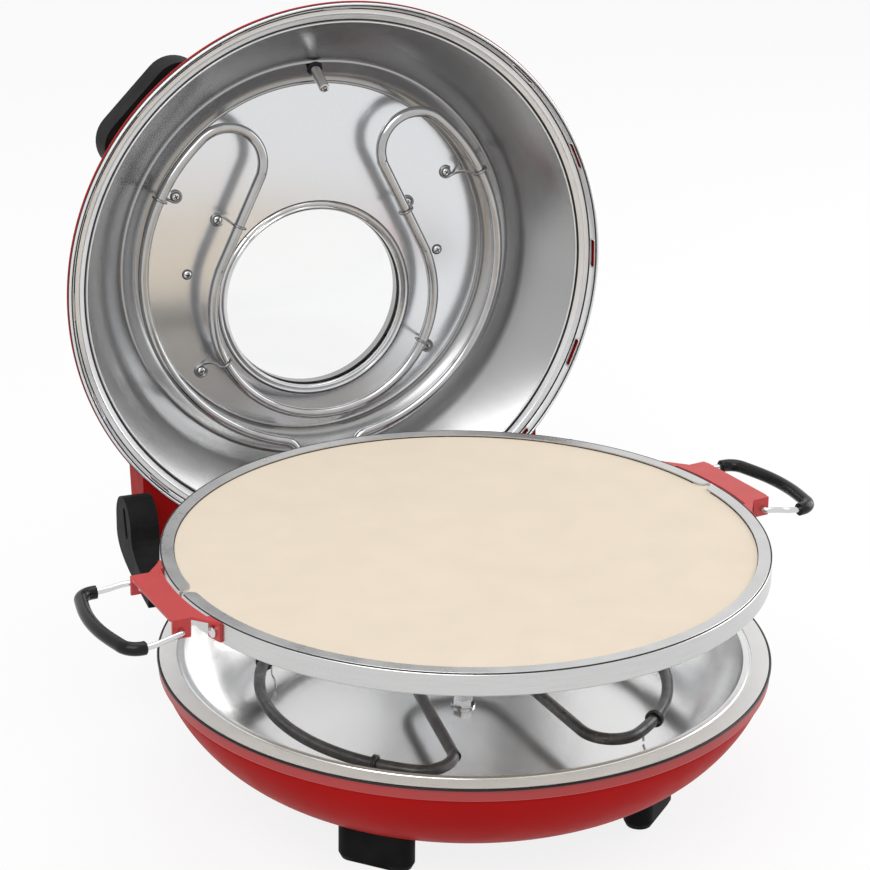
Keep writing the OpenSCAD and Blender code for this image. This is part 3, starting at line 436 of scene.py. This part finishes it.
def plate(name, outer, inner, z0, z1, material, body, where):
    """Flat sheet between two circles, each (x, y, radius), which may have different centres."""
    count = 256
    verts, faces = [], []
    for cx, cy, r in (outer, inner):
        for z in (z0, z1):
            verts += [(cx + r * math.cos(2 * math.pi * k / count),
                       cy + r * math.sin(2 * math.pi * k / count), z) for k in range(count)]
    o0, o1, i0, i1 = 0, count, 2 * count, 3 * count
    for k in range(count):
        n = (k + 1) % count
        faces += [(o0 + k, o0 + n, i0 + n, i0 + k), (o1 + k, o1 + n, i1 + n, i1 + k),
                  (o0 + k, o0 + n, o1 + n, o1 + k), (i0 + k, i0 + n, i1 + n, i1 + k)]
    return finish_mesh(name, verts, faces, material, body, where)


def merge(name, parts, *replaced):
    """Joins pieces into one object, which replaces the named nodes."""
    bpy.ops.object.select_all(action="DESELECT")
    for part in parts:
        part.select_set(True)
    bpy.context.view_layer.objects.active = parts[0]
    bpy.ops.object.join()
    parts[0].name = name
    if replaced:
        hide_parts(*replaced)
    return parts[0]


def cut(obj, tools):
    """Takes the tools' volumes out of obj and deletes them."""
    for tool in tools:
        mod = obj.modifiers.new("cut", "BOOLEAN")
        mod.object = tool
        mod.solver = "EXACT"
        bpy.context.view_layer.objects.active = obj
        bpy.ops.object.modifier_apply(modifier=mod.name)
        bpy.data.objects.remove(tool)
    obj.data.set_sharp_from_angle(angle=math.radians(SHARP))


def soften(node, width):
    """Rounds the sharp edges of a CAD node."""
    mod = NODES[node].modifiers.new("edge", "BEVEL")
    mod.width = width * MM
    mod.segments = 3
    mod.limit_method = "ANGLE"
    mod.angle_limit = math.radians(40)
    mod.use_clamp_overlap = True


# ---- CAD nodes that keep their shape ----

SLOT_OF = {s["node"]: s["material_slot"] for s in frame["record"]["subparts"]}
for name, node in NODES.items():
    node.data.materials.clear()
    node.data.materials.append(SLOTS[SLOT_OF[name]])


# ---- heaters, wires and screws ----

def element_path(lobe_r, lobe_a, inner_r, bow_back, exit_y):
    """Middle line of a heater: two lobes at the front and a bow between them, ends at the back."""
    rad = math.radians
    lobe = Vector((-(BOW_R - lobe_r) * math.sin(rad(lobe_a)), -(BOW_R - lobe_r) * math.cos(rad(lobe_a))))
    gap = Vector((0, bow_back)) - lobe
    out_a = math.degrees(math.atan2(gap.y, gap.x) - math.acos((lobe_r + inner_r) / gap.length))
    bend_x = TERMINAL_GAP / 2 + END_BEND
    bend_y = math.sqrt((BOW_R + END_BEND) ** 2 - bend_x ** 2)
    bend_a = math.degrees(math.atan2(bend_y, -bend_x))
    half = ([(-TERMINAL_GAP / 2, exit_y + 18)] + arc((-bend_x, bend_y), END_BEND, 360, 180 + bend_a, 12)
            + arc((0, 0), BOW_R, bend_a + 1.5, 270 - lobe_a, 72)
            + arc(lobe, lobe_r, 272 - lobe_a, 360 + out_a, 40)
            + arc((0, bow_back), inner_r, 180 + out_a, 90, 48))
    return [(x, y, 0) for x, y in half] + [(-x, y, 0) for x, y in half[-2::-1]]


def resample(points, step):
    """Points at an even spacing along a smooth curve through the given ones."""
    pts = [Vector(p) for p in points]
    lengths = [0.0]
    for p, q in zip(pts, pts[1:]):
        lengths.append(lengths[-1] + (q - p).length)
    out, k = [], 0
    for i in range(int(lengths[-1] / step) + 1):
        s = i * step
        while k < len(pts) - 2 and lengths[k + 1] < s:
            k += 1
        t = (s - lengths[k]) / max(1e-9, lengths[k + 1] - lengths[k])
        a, b = pts[k], pts[k + 1]
        prev, after = pts[max(k - 1, 0)], pts[min(k + 2, len(pts) - 1)]
        out.append(0.5 * (2 * a + (b - prev) * t + (2 * prev - 5 * a + 4 * b - after) * t * t
                          + (3 * a - prev - 3 * b + after) * t ** 3))
    return out + [pts[-1]]


def heater(name, node, path, where, material, body):
    tube = sweep(name, resample(path, 1.6), TUBE_R, material, body, where, 28)
    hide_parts(node)


# Directions of the two bars of a screw's cross recess, and how far each next screw is turned.
CROSS = (20, 110)
SCREW_STEP = 31
BOX_FACES = [(0, 1, 2, 3), (4, 5, 6, 7), (0, 1, 5, 4), (1, 2, 6, 5), (2, 3, 7, 6), (3, 0, 4, 7)]


def bar(name, spot, angle, length, width, low_z, high_z, material, body):
    """A box lying across a screw's middle; length and width are halves."""
    corners = [(x, y, z) for z in (low_z, high_z)
               for x, y in ((-length, -width), (length, -width), (length, width), (-length, width))]
    return finish_mesh(name, [turn(angle, "Z") @ Vector(p) for p in corners], BOX_FACES, material, body, spot)


def pan_head(name, spots, radius, height, material, body):
    """Pan-head screws, each with a cross recess whose bottom holds near-black bars of painted shade; spots
    are matrices.
    """
    heads = []
    for k, spot in enumerate(spots):
        rise = (radius, height * 0.35)
        dome = [(0, 0), (radius, 0), rise] + bezier(
            rise, (radius * 0.96, height * 0.8), (radius * 0.6, height), (0, height), 8)[1:]
        verts, faces = [], []
        sides = 32
        for r, z in dome[1:-1]:
            verts += [(r * math.cos(2 * math.pi * i / sides), r * math.sin(2 * math.pi * i / sides), z)
                      for i in range(sides)]
        verts += [(0, 0, 0), (0, 0, dome[-1][1])]
        for i in range(sides):
            n = (i + 1) % sides
            faces.append((len(verts) - 2, i, n))
            for row in range(len(dome) - 3):
                faces.append((row * sides + i, row * sides + n, (row + 1) * sides + n, (row + 1) * sides + i))
            last = (len(dome) - 3) * sides
            faces.append((last + i, last + n, len(verts) - 1))
        head = finish_mesh(name + "_head", verts, faces, material, body, spot)
        deep = height * 0.5
        angles = [a + SCREW_STEP * k for a in CROSS]
        cut(head, [bar("tool", spot, a, radius * 0.62, radius * 0.13, height - deep, height + 1, material,
                       body) for a in angles])
        heads.append(head)
        # Near-black bars down in each cross recess: painted shade.
        heads += [bar("recess", spot, a, radius * 0.6, radius * 0.125, height - deep * 1.1,
                      height - deep * 0.55, PAINTED_SHADE_DARK, body) for a in angles]
    return heads


# ---- base ----

def bowl_pieces():
    """The red bowl, the collar below its rim, and the black trim on its edge."""
    top = RIM_Z
    depth = top - UNDER
    outer = [(SHELL_R - 1.3, top - 0.8), (SHELL_R - 1.3, top - 7.8)] + bezier(
        (SHELL_R - 1.5, top - 9.2), (SHELL_R - 9, top - depth * 0.52), (SHELL_R - 35, UNDER),
        (BOWL_FLAT_R, UNDER), 60)
    shell = lathe("red_bowl", outer + [(0, UNDER), (0, UNDER + SHEET)] + inset(outer, -SHEET)[::-1], RED,
                  "base")
    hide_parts("base_shell")
    # The collar wears the pinker copy of the enamel, a painted sheen.
    lathe("bowl_collar", [(SHELL_R - 0.7, top - 0.8), (SHELL_R + 0.3, top - COLLAR_H + 0.5),
                          (SHELL_R, top - COLLAR_H), (SHELL_R - 1.5, top - COLLAR_H),
                          (SHELL_R - 1.9, top - 0.8)], COLLAR_RED_SHEEN, "base")
    trim = lathe("edge_trim", [(SHELL_R + 0.05, top - TRIM_H), (BASE_R - 0.3, top - TRIM_H),
                               (BASE_R, top - TRIM_H + 0.3)]
                 + arc((BASE_R - TRIM_W / 2, top - 0.6), TRIM_W / 2, 0, 180, 12)
                 + [(BASE_R - TRIM_W, top - 0.95), (SHELL_R + 0.05, top - 0.95)], TRIM_BLACK, "base")
    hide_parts("base_trim")


def pan_pieces():
    """The base's reflector: a flat flange that lies on the rim, and a pan with a shallow groove round it."""
    top = RIM_Z
    flange_r = BASE_R - TRIM_W - 0.05
    # A pale skin over the pan's flat rim: painted light.
    lathe("pan_flange", [(flange_r, top + 0.03), (SEAT_R + 4.1, top + 0.03), (SEAT_R + 4.1, top - 0.3),
                         (flange_r, top - 0.3)], FLANGE_PAINTED_LIGHT, "base")
    wall = bezier((SEAT_R - 1, top - 1), (SEAT_R - 8, top - PAN_DEPTH * 0.62), (SEAT_R - 27, top - PAN_DEPTH),
                  (PAN_FLOOR_R, top - PAN_DEPTH), 60)
    face = [(flange_r, top), (SEAT_R + 4, top), (SEAT_R + 3.6, top - 0.45), (SEAT_R + 3.0, top - 0.45),
            (SEAT_R + 2.6, top)] + arc((SEAT_R, top - 1), 1, 90, 180, 5) + wall[1:]
    pan = lathe("reflector_pan", face + [(0, top - PAN_DEPTH), (0, top - PAN_DEPTH - STEEL)]
                + inset(face, STEEL)[::-1], PAN_STEEL, "base")
    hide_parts("base_pan")


def lower_clips():
    """Four wires, each wound twice round the lower heater, with a bent leg below."""
    coil_r = TUBE_R + 1.0
    coil = [(1.5 * (t / 360 - 1), coil_r * math.cos(math.radians(t)), coil_r * math.sin(math.radians(t)))
            for t in range(-40, 700, 12)]
    leg = [(0.9, coil_r, -3), (1.1, TUBE_R + 1.2, -7), (0.4, TUBE_R + 2.4, -10), (1.6, TUBE_R + 3.2, -12.5),
           (0.8, TUBE_R + 3.0, -15.6)]
    wires = []
    for a in CLIP_ANGLES:
        spot = place(turn(a, "Z"), shift(0, -BOW_R, RIM_Z - LOWER_DROP))
        wires.append(sweep("clip", resample(coil, 0.9), WIRE_R * 1.05, WIRE_DARK, "base", spot, 12))
        wires.append(sweep("clip_leg", resample(leg, 0.9), WIRE_R * 0.8, PLATE, "base", spot, 10))
    merge("lower_wire_clips", wires, "lower_clips")


def base_pieces():
    bowl_pieces()
    pan_pieces()
    path = element_path(lobe_r=18, lobe_a=35, inner_r=28, bow_back=10, exit_y=SEAT_R - 19)
    heater("lower_heater_tube", "lower_element", path, shift(0, 0, RIM_Z - LOWER_DROP), HEATER_DARK, "base")
    lower_clips()
    nut_z = RIM_Z - PAN_DEPTH + 1.2
    washer = lathe("pan_nut_washer", [(3.1, nut_z - 1.2), (7, nut_z - 1.2), (7, nut_z - 0.4), (6.6, nut_z),
                                      (3.1, nut_z)], CHROME, "base", segments=64)
    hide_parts("pan_washer")


# ---- lid ----

def cone_pieces():
    """The lid's reflector: a creased cone that ends in a bead, and the mirror-like floor inside it."""
    crease = (LID_FLOOR_R + 13, LID_DEPTH - 8)
    floor_r = LID_FLOOR_R - 3
    wall = (bezier((FOLD_R - 0.3, FOLD_H + 0.3), (FOLD_R - 9, FOLD_H + 9), (crease[0] + 7, crease[1] - 13),
                   crease, 40)
            + bezier((crease[0] - 1.2, crease[1] - 0.3), (crease[0] - 5, crease[1] + 2.5),
                     (LID_FLOOR_R + 4, LID_DEPTH), (LID_FLOOR_R, LID_DEPTH), 16))
    bead = arc((LID_FLOOR_R - 2, LID_DEPTH + 0.05), 1, 0, -180, 10)
    cone = [(FOLD_R + 4, FOLD_H + STEEL + 0.3)] + wall
    # The cone wears the darkened satin steel: painted dark reflections.
    cone_piece = lathe("lid_cone", cone + bead + [(floor_r, LID_DEPTH), (floor_r, LID_DEPTH + STEEL)]
                       + inset(cone, -STEEL)[::-1], SATIN_PAINTED_DARK, "lid", LID,
                       segments=LID_SEGMENTS)
    disc = plate("lid_floor", (0, 0, floor_r), (0, WINDOW_OFF, WINDOW_R), LID_DEPTH, LID_DEPTH + STEEL,
                 MIRROR, "lid", LID)
    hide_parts("lid_pan")
    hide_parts("lid_pan")


def round_ring(name, r, z, thick, material):
    return lathe(name, arc((r, z), thick, 0, 345, 23), material, "lid", LID,
                 segments=LID_SEGMENTS)


def rim_pieces():
    """The lid's pressed lip, vented band and step, with thin dark rings of painted shade at its joints and at
    the lip's edge, a rolled edge and turned vent edges.
    """
    face = ([(LIP_R, 1.4)] + arc((LIP_R - 0.7, 0.5), 0.7, 0, -180, 10)
            + [(BAND_TOP_R + 0.2, 0.35), (BAND_TOP_R, BAND_START), (BAND_IN, BAND_H),
               (BAND_IN - 0.5, BAND_H + 0.3), (BAND_IN - 3.2, BAND_H + 0.7), (BAND_IN - 3.6, BAND_H + 0.3),
               (BAND_IN - 4.2, BAND_H + 0.8), (FOLD_R + 0.6, FOLD_H), (FOLD_R, FOLD_H + 0.3)])
    back = [(FOLD_R, FOLD_H + STEEL + 0.3)] + inset(face, -STEEL * 0.8)[::-1][1:-1] + [(LIP_R - 0.6, 1.4)]
    rim = lathe("lid_rim_press", face + back, LIP_STEEL, "lid", LID,
                segments=LID_SEGMENTS)
    middle, half, end = (BAND_START + BAND_H) / 2, (VENT_L - VENT_W) / 2, VENT_W / 2
    outline = ([(half + x, y) for x, y in arc((0, 0), end, -90, 90, 10)]
               + [(x - half, y) for x, y in arc((0, 0), end, 90, 270, 10)])
    count = len(outline)
    spots = [place(LID, turn(360 * i / VENT_COUNT, "Z")) for i in range(VENT_COUNT)]
    box = [(r, a, middle + u) for r in (BAND_IN - 2.5, LIP_R - 0.9) for a, u in outline]
    faces = [tuple(range(count)), tuple(range(count, 2 * count))] + [
        (k, (k + 1) % count, count + (k + 1) % count, count + k) for k in range(count)]
    cut(rim, [merge("tools", [finish_mesh("tool", box, faces, LIP_STEEL, "lid", spot) for spot in spots])])
    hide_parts("lid_rim")
    path = []
    for a, u in outline:
        wall_r = BAND_TOP_R - (BAND_TOP_R - BAND_IN) * (middle + u - BAND_START) / (BAND_H - BAND_START)
        path.append((math.sqrt(wall_r ** 2 - a ** 2) - 0.05, a, middle + u))
    merge("vent_edges", [sweep("edge", path, 0.3, LIP_STEEL, "lid", spot, 8, closed=True)
                         for spot in spots])
    # Near-black rings: painted shade in the creases at the band's top and foot and at the fold, and in the
    # gap between the lip and the red shell.
    merge("rim_painted_shade_lines", [round_ring("line", r, z, thick, PAINTED_SHADE_DARK) for r, z, thick in (
        (BAND_TOP_R, 0.6, 0.38), (BAND_IN - 0.1, BAND_H, 0.5), (FOLD_R + 0.4, FOLD_H + 0.05, 0.5),
        (LIP_R - 0.1, 1.7, 0.5))])
    round_ring("cone_rolled_edge", FOLD_R - 0.9, FOLD_H + 0.5, 0.6, LIP_STEEL)


def window_pieces():
    """The ring round the window, thin dark rings of painted shade at its joints, and the liner of its
    opening.
    """
    at_window = place(LID, shift(0, WINDOW_OFF, LID_DEPTH))
    r, seat = WINDOW_R, WINDOW_SEAT_R
    ring = lathe("window_ring_bead", [(r, 1.2), (r, -0.1), (r + 0.6, -1.0), (r + 1.6, -1.3), (r + 2.4, -0.8),
                                      (r + 2.9, -0.2), (r + 3.5, -0.9), (r + 4.4, -1.0), (seat - 0.2, -0.4),
                                      (seat, -0.05), (seat, 0.0)],
                 CHROME, "lid", at_window)
    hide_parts("window_ring")
    # Near-black rings: painted shade in the crease of the ring's bead and in the gap at its seat.
    lines = [(r + 2.7, r + 3.1, -0.27, -0.1), (seat - 0.1, seat + 0.4, -0.1, 0.0)]
    merge("window_painted_shade_lines", [lathe("joint", [(a, z0), (b, z0), (b, z1), (a, z1)], PAINTED_SHADE_DARK, "lid",
                                       at_window) for a, b, z0, z1 in lines])
    lathe("window_liner", [(r - 0.02, 6.5), (r - 0.02, 13.2), (r - 0.4, 13.2), (r - 0.4, 6.5)], SATIN_PAINTED_DARK, "lid",
          at_window)


def dome_pieces():
    """The lid's red shell: a curved wall of revolution, and a flat top that is open round the window."""
    edge = (LIP_R + 0.6, 4)
    dome = [(LIP_R - 0.2, 1.9), (LIP_R + 0.3, 2.0), (LIP_R + 0.7, 2.6), edge] + bezier(
        edge, (LIP_R - 5.9, 18), (LIP_R - 33, DOME_H), (DOME_FLAT_R, DOME_H), 70)[1:]
    shell = lathe("red_dome", dome + [(DOME_FLAT_R, DOME_H - SHEET)] + inset(dome, SHEET)[::-1][1:], RED,
                  "lid", LID, segments=LID_SEGMENTS)
    crown = plate("red_dome_top", (0, 0, DOME_FLAT_R), (0, WINDOW_OFF, WINDOW_SEAT_R + 0.2), DOME_H - SHEET,
                  DOME_H, RED, "lid", LID)
    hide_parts("lid_shell")
    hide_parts("lid_shell")


def floor_screws():
    flip = Matrix.Scale(-1, 4, (0, 0, 1)) @ Matrix.Scale(-1, 4, (0, 1, 0))
    screws = [(s * x, y) for s in (-1, 1) for x, y in (RIM_SCREW, LEG_SCREW, FREE_SCREW, BOW_SCREW)]
    spots = [place(LID, shift(x, y, LID_DEPTH - 0.35), flip) for x, y in screws]
    heads = pan_head("floor_screw", spots, 2.6, 1.7, CHROME, "lid")
    profile = [(0.5, 0), (3.3, 0), (3.3, 0.25), (3.0, 0.35), (0.5, 0.35)]
    washers = [lathe("floor_screw_washer", profile, WIRE_DARK, "lid",
                     place(LID, shift(x, y, LID_DEPTH), flip), 48) for x, y in screws]
    merge("floor_screws", heads, "pan_screws")
    merge("floor_washers", washers)


def hook_path(d, rise):
    """Middle line of a wire hook: an eye round its screw, a leg along the floor, a loop round the tube."""
    loop = TUBE_R + WIRE_R + 0.2
    eye = 3.5
    rad = math.radians
    return ([(eye * math.cos(rad(a)), eye * math.sin(rad(a)), 0.85) for a in range(340, 85, -10)]
            + [(x, eye, z) for x, z in bezier((0, 0.85), (0.7 * (d - loop), 0.85), (d - loop, rise * 0.45),
                                              (d - loop, rise), 10) if x > 0.3]
            + [(d + loop * math.cos(rad(a)), eye, rise + loop * math.sin(rad(a)))
               for a in range(165, -80, -12)])


def hooks_of_one_side():
    """For each hook: its screw, how far off the tube's middle line lies, and in which direction."""
    rim, leg, bow = Vector(RIM_SCREW), Vector(LEG_SCREW), Vector(BOW_SCREW)
    run = Vector(STRAIGHT_RUN).normalized()
    normal = Vector((-run.y, run.x))
    to_bow = bow - Vector((0, UPPER_BOW_BACK))
    degrees = math.degrees
    return [(rim, BOW_R - rim.length, degrees(math.atan2(rim.y, rim.x))),
            (leg, STRAIGHT_OFF, degrees(math.atan2(normal.y, normal.x))),
            (bow, to_bow.length - UPPER_BOW_R, degrees(math.atan2(-to_bow.y, -to_bow.x)))]


def wire_hooks():
    hooks = []
    for s in (-1, 1):
        for (x, y), d, a in hooks_of_one_side():
            spot = place(LID, shift(s * x, y, LID_DEPTH), Matrix.Scale(s, 4, (1, 0, 0)), turn(a, "Z"),
                         Matrix.Scale(-1, 4, (0, 0, 1)))
            path = resample(hook_path(d, LID_DEPTH - UPPER_DROP), 0.8)
            hooks.append(sweep("hook", path, WIRE_R, WIRE_STEEL, "lid", spot, 12))
    merge("upper_wire_hooks", hooks, "upper_clips")


def probe_pieces():
    """The thermostat's probe, which leans out of the cone, and the rubber collar round its foot."""
    tip = place(LID, shift(0, -(LID_FLOOR_R + 8), LID_DEPTH - 7), turn(PROBE_TURN, "X"))
    probe = lathe("probe_tube", [(0, -7), (3.2, -7), (3.2, 20.2), (2.9, 20.8), (2.3, 21), (1.6, 21),
                                 (1.5, 19.8), (1.1, 19.8), (1.0, 20.6), (0, 20.7)], CHROME, "lid", tip, 64)
    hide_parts("probe")
    collar = lathe("probe_collar", arc((4.0, 0.2), 0.95, 0, 345, 23), GRIP_BLACK, "lid", tip, 64)
    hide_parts("probe_grommet")


def lid_pieces():
    cone_pieces()
    rim_pieces()
    path = element_path(lobe_r=23, lobe_a=41.5, inner_r=UPPER_BOW_R, bow_back=UPPER_BOW_BACK,
                        exit_y=LID_FLOOR_R + 9)
    heater("upper_heater_tube", "upper_element", path, place(LID, shift(0, 0, UPPER_DROP)), HEATER_BRIGHT,
           "lid")
    window_pieces()
    dome_pieces()
    floor_screws()
    wire_hooks()
    probe_pieces()


# ---- stone and carrier ----

def stone_piece():
    r, h = STONE_R, STONE_H
    edge = 1.4
    stone = lathe("stone_disc", [(0, 0), (r - edge, 0)] + arc((r - edge, edge), edge, -90, 0, 6)
                  + arc((r - edge, h - edge), edge, 0, 90, 8) + [(0, h)], STONE, "carrier",
                  place(TRAY, shift(0, 0, SHEET + 0.05)))
    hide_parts("pizza_stone")


def painted_ring_lines():
    """Near-black lines on the carrier ring, which stop short of its two splits: a painted dark reflection
    along its rounded outer edge, and painted shade in the gap where it laps the stone.
    """
    lines = []
    for r, z in ((RING_R - 0.45, RING_H - 0.3),
                 (STONE_R - RING_LAP + RING_PLAY - 0.05, RING_H - SHEET + 0.1)):
        gap = 1.2 if r > STONE_R else 3.0
        for start in (BAIL_TURN + gap, 180 - BAIL_TURN + gap):
            end = 180 - BAIL_TURN - gap if start < 90 else 360 + BAIL_TURN - gap
            path = [(x, y, z) for x, y in arc((0, 0), r, start, end, 160)]
            lines.append(sweep("painted_dark_line", path, 0.38, PAINTED_SHADE_DARK, "carrier", TRAY, 8))
    merge("ring_painted_dark_lines", lines)


def bail_pieces(name, side):
    """One wire handle, from tab to tab, and the sleeve that its outer part wears."""
    body = name + "_bail"
    where = place(TRAY, turn(side, "Z"))
    x0, z0 = BAIL_X, RING_H - BAIL_DROP
    arm_x, arm_z = x0 + 21, z0 - 2.6
    arm = [(x0, BAIL_HALF - 7, z0), (x0, BAIL_HALF - 4, z0), (x0, BAIL_HALF - 1.5, z0),
           (x0 + 0.6, BAIL_HALF + 0.4, z0), (x0 + 2.5, BAIL_HALF + 1.8, z0),
           (x0 + 8, BAIL_HALF + 3, z0 - 0.6), (x0 + 15, GRIP_HALF - 0.4, z0 - 2),
           (arm_x, GRIP_HALF, arm_z)]
    x1, half = x0 + BAIL_REACH - GRIP_BULGE, GRIP_HALF - GRIP_BEND
    bulge = [(x1 + GRIP_BULGE * (1 - t * t), half * t) for t in (0.75, 0.5, 0.25, 0, -0.25, -0.5, -0.75)]
    bow = [(x, y, arm_z) for x, y in arc((x1 - GRIP_BEND, half), GRIP_BEND, 90, 15, 12) + bulge
           + arc((x1 - GRIP_BEND, -half), GRIP_BEND, -15, -90, 12)]
    path = arm + bow + [(x, -y, z) for x, y, z in arm[::-1]]
    wire = sweep("bail_wire_" + name, resample(path, 0.8), BAIL_WIRE, CHROME, body, where, 24)
    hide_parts("bail_" + name)
    points = resample([(arm_x, GRIP_HALF, arm_z)] + bow + [(arm_x, -GRIP_HALF, arm_z)], 0.8)
    last = len(points) - 1
    radii = [GRIP_R * min(1.0, 0.80 + 0.22 * min(i, last - i) ** 0.5) for i in range(last + 1)]
    sleeve = sweep("bail_sleeve_" + name, points, radii, GRIP_BLACK, body, where, 28,
                   round_ends=False)
    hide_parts("bail_grip_" + name)


def tray_pieces():
    stone_piece()
    painted_ring_lines()
    bail_pieces("right", BAIL_TURN)
    bail_pieces("left", 180 - BAIL_TURN)


EDGE_WIDTHS = {"lid_grip_left": 2.5, "lid_grip_right": 2.5, "control_housing": 2, "hinge_housing": 1,
               "hinge_block_left": 1.2, "hinge_block_right": 1.2, "foot_front_left": 1, "foot_front_right": 1,
               "foot_rear_left": 1, "foot_rear_right": 1, "bracket_left": 0.35, "bracket_right": 0.35,
               "ring_front": 0.3, "ring_rear": 0.3}

base_pieces()
lid_pieces()
tray_pieces()
for node_name, width in EDGE_WIDTHS.items():
    soften(node_name, width)


# ---- camera, light and floor ----

CAM_PLACE = (-542.5, -1380.0, 781.5)
CAM_TARGET = (-19.06, 0.0, 208.9)
CAM_ROLL = 0.73
FOCAL_PX = 2910.2
IMAGE_PX = 870
SENSOR_MM = 36


def aimed(place_mm, target_mm):
    eye, target = Vector(place_mm) * MM, Vector(target_mm) * MM
    return Matrix.Translation(eye) @ (target - eye).to_track_quat("-Z", "Y").to_matrix().to_4x4()


def camera():
    cam = bpy.data.cameras.new("camera")
    cam.sensor_width = SENSOR_MM
    cam.lens = SENSOR_MM * FOCAL_PX / IMAGE_PX
    cam.clip_end = 20
    obj = bpy.data.objects.new("camera", cam)
    obj.matrix_world = aimed(CAM_PLACE, CAM_TARGET) @ turn(CAM_ROLL, "Z")
    bpy.context.scene.collection.objects.link(obj)
    bpy.context.scene.camera = obj


def lamp(name, size, power, place_mm, target_mm):
    """Square soft light of the given size in metres, aimed at the target."""
    light = bpy.data.lights.new(name, "AREA")
    light.shape = "RECTANGLE"
    light.size = light.size_y = size
    light.energy = power
    obj = bpy.data.objects.new(name, light)
    obj.matrix_world = aimed(place_mm, target_mm)
    bpy.context.scene.collection.objects.link(obj)


def chosen_by_ray(tree, lit, shown):
    """The shown shader for camera, glossy and transmission rays, and the lit one for all others."""
    path = tree.nodes.new("ShaderNodeLightPath")
    total = path.outputs["Is Camera Ray"]
    for ray in ("Is Glossy Ray", "Is Transmission Ray"):
        most = tree.nodes.new("ShaderNodeMath")
        most.operation = "MAXIMUM"
        tree.links.new(total, most.inputs[0])
        tree.links.new(path.outputs[ray], most.inputs[1])
        total = most.outputs[0]
    mix = tree.nodes.new("ShaderNodeMixShader")
    tree.links.new(total, mix.inputs["Fac"])
    tree.links.new(lit, mix.inputs[1])
    tree.links.new(shown, mix.inputs[2])
    return mix.outputs[0]


def world():
    scene = bpy.context.scene
    scene.world = bpy.data.worlds.new("world")
    scene.world.use_nodes = True
    tree = scene.world.node_tree
    lit = tree.nodes["Background"]
    lit.inputs["Color"].default_value = (1, 1, 1, 1)
    lit.inputs["Strength"].default_value = 0.55
    white = tree.nodes.new("ShaderNodeBackground")
    white.inputs["Color"].default_value = (1, 1, 1, 1)
    tree.links.new(chosen_by_ray(tree, lit.outputs[0], white.outputs[0]),
                   tree.nodes["World Output"].inputs["Surface"])


def floor():
    mesh = bpy.data.meshes.new("floor")
    half = 6.0
    corners = [(-half, -half, 0), (half, -half, 0), (half, half, 0), (-half, half, 0)]
    mesh.from_pydata(corners, [], [(0, 1, 2, 3)])
    obj = bpy.data.objects.new("floor", mesh)
    obj.location.z = -0.0002
    bpy.context.scene.collection.objects.link(obj)
    mat, tree, shader = nodes_of("floor")
    shader.inputs["Base Color"].default_value = (0.9, 0.9, 0.9, 1)
    shader.inputs["Roughness"].default_value = 0.8
    pale = tree.nodes.new("ShaderNodeEmission")
    part = tree.nodes.new("ShaderNodeMixShader")
    part.inputs["Fac"].default_value = 0.85
    tree.links.new(shader.outputs[0], part.inputs[1])
    tree.links.new(pale.outputs[0], part.inputs[2])
    tree.links.new(chosen_by_ray(tree, shader.outputs[0], part.outputs[0]),
                   tree.nodes["Material Output"].inputs["Surface"])
    obj.data.materials.append(mat)


camera()
world()
floor()
lamp("key", 1.2, 14, (-900, -900, 1500), (0, 0, 120))
lamp("fill", 1.2, 12, (1500, 200, 620), (0, 100, 200))
lamp("top", 1.4, 10, (200, 300, 1900), (0, 50, 100))
bpy.context.scene.view_settings.view_transform = "Standard"
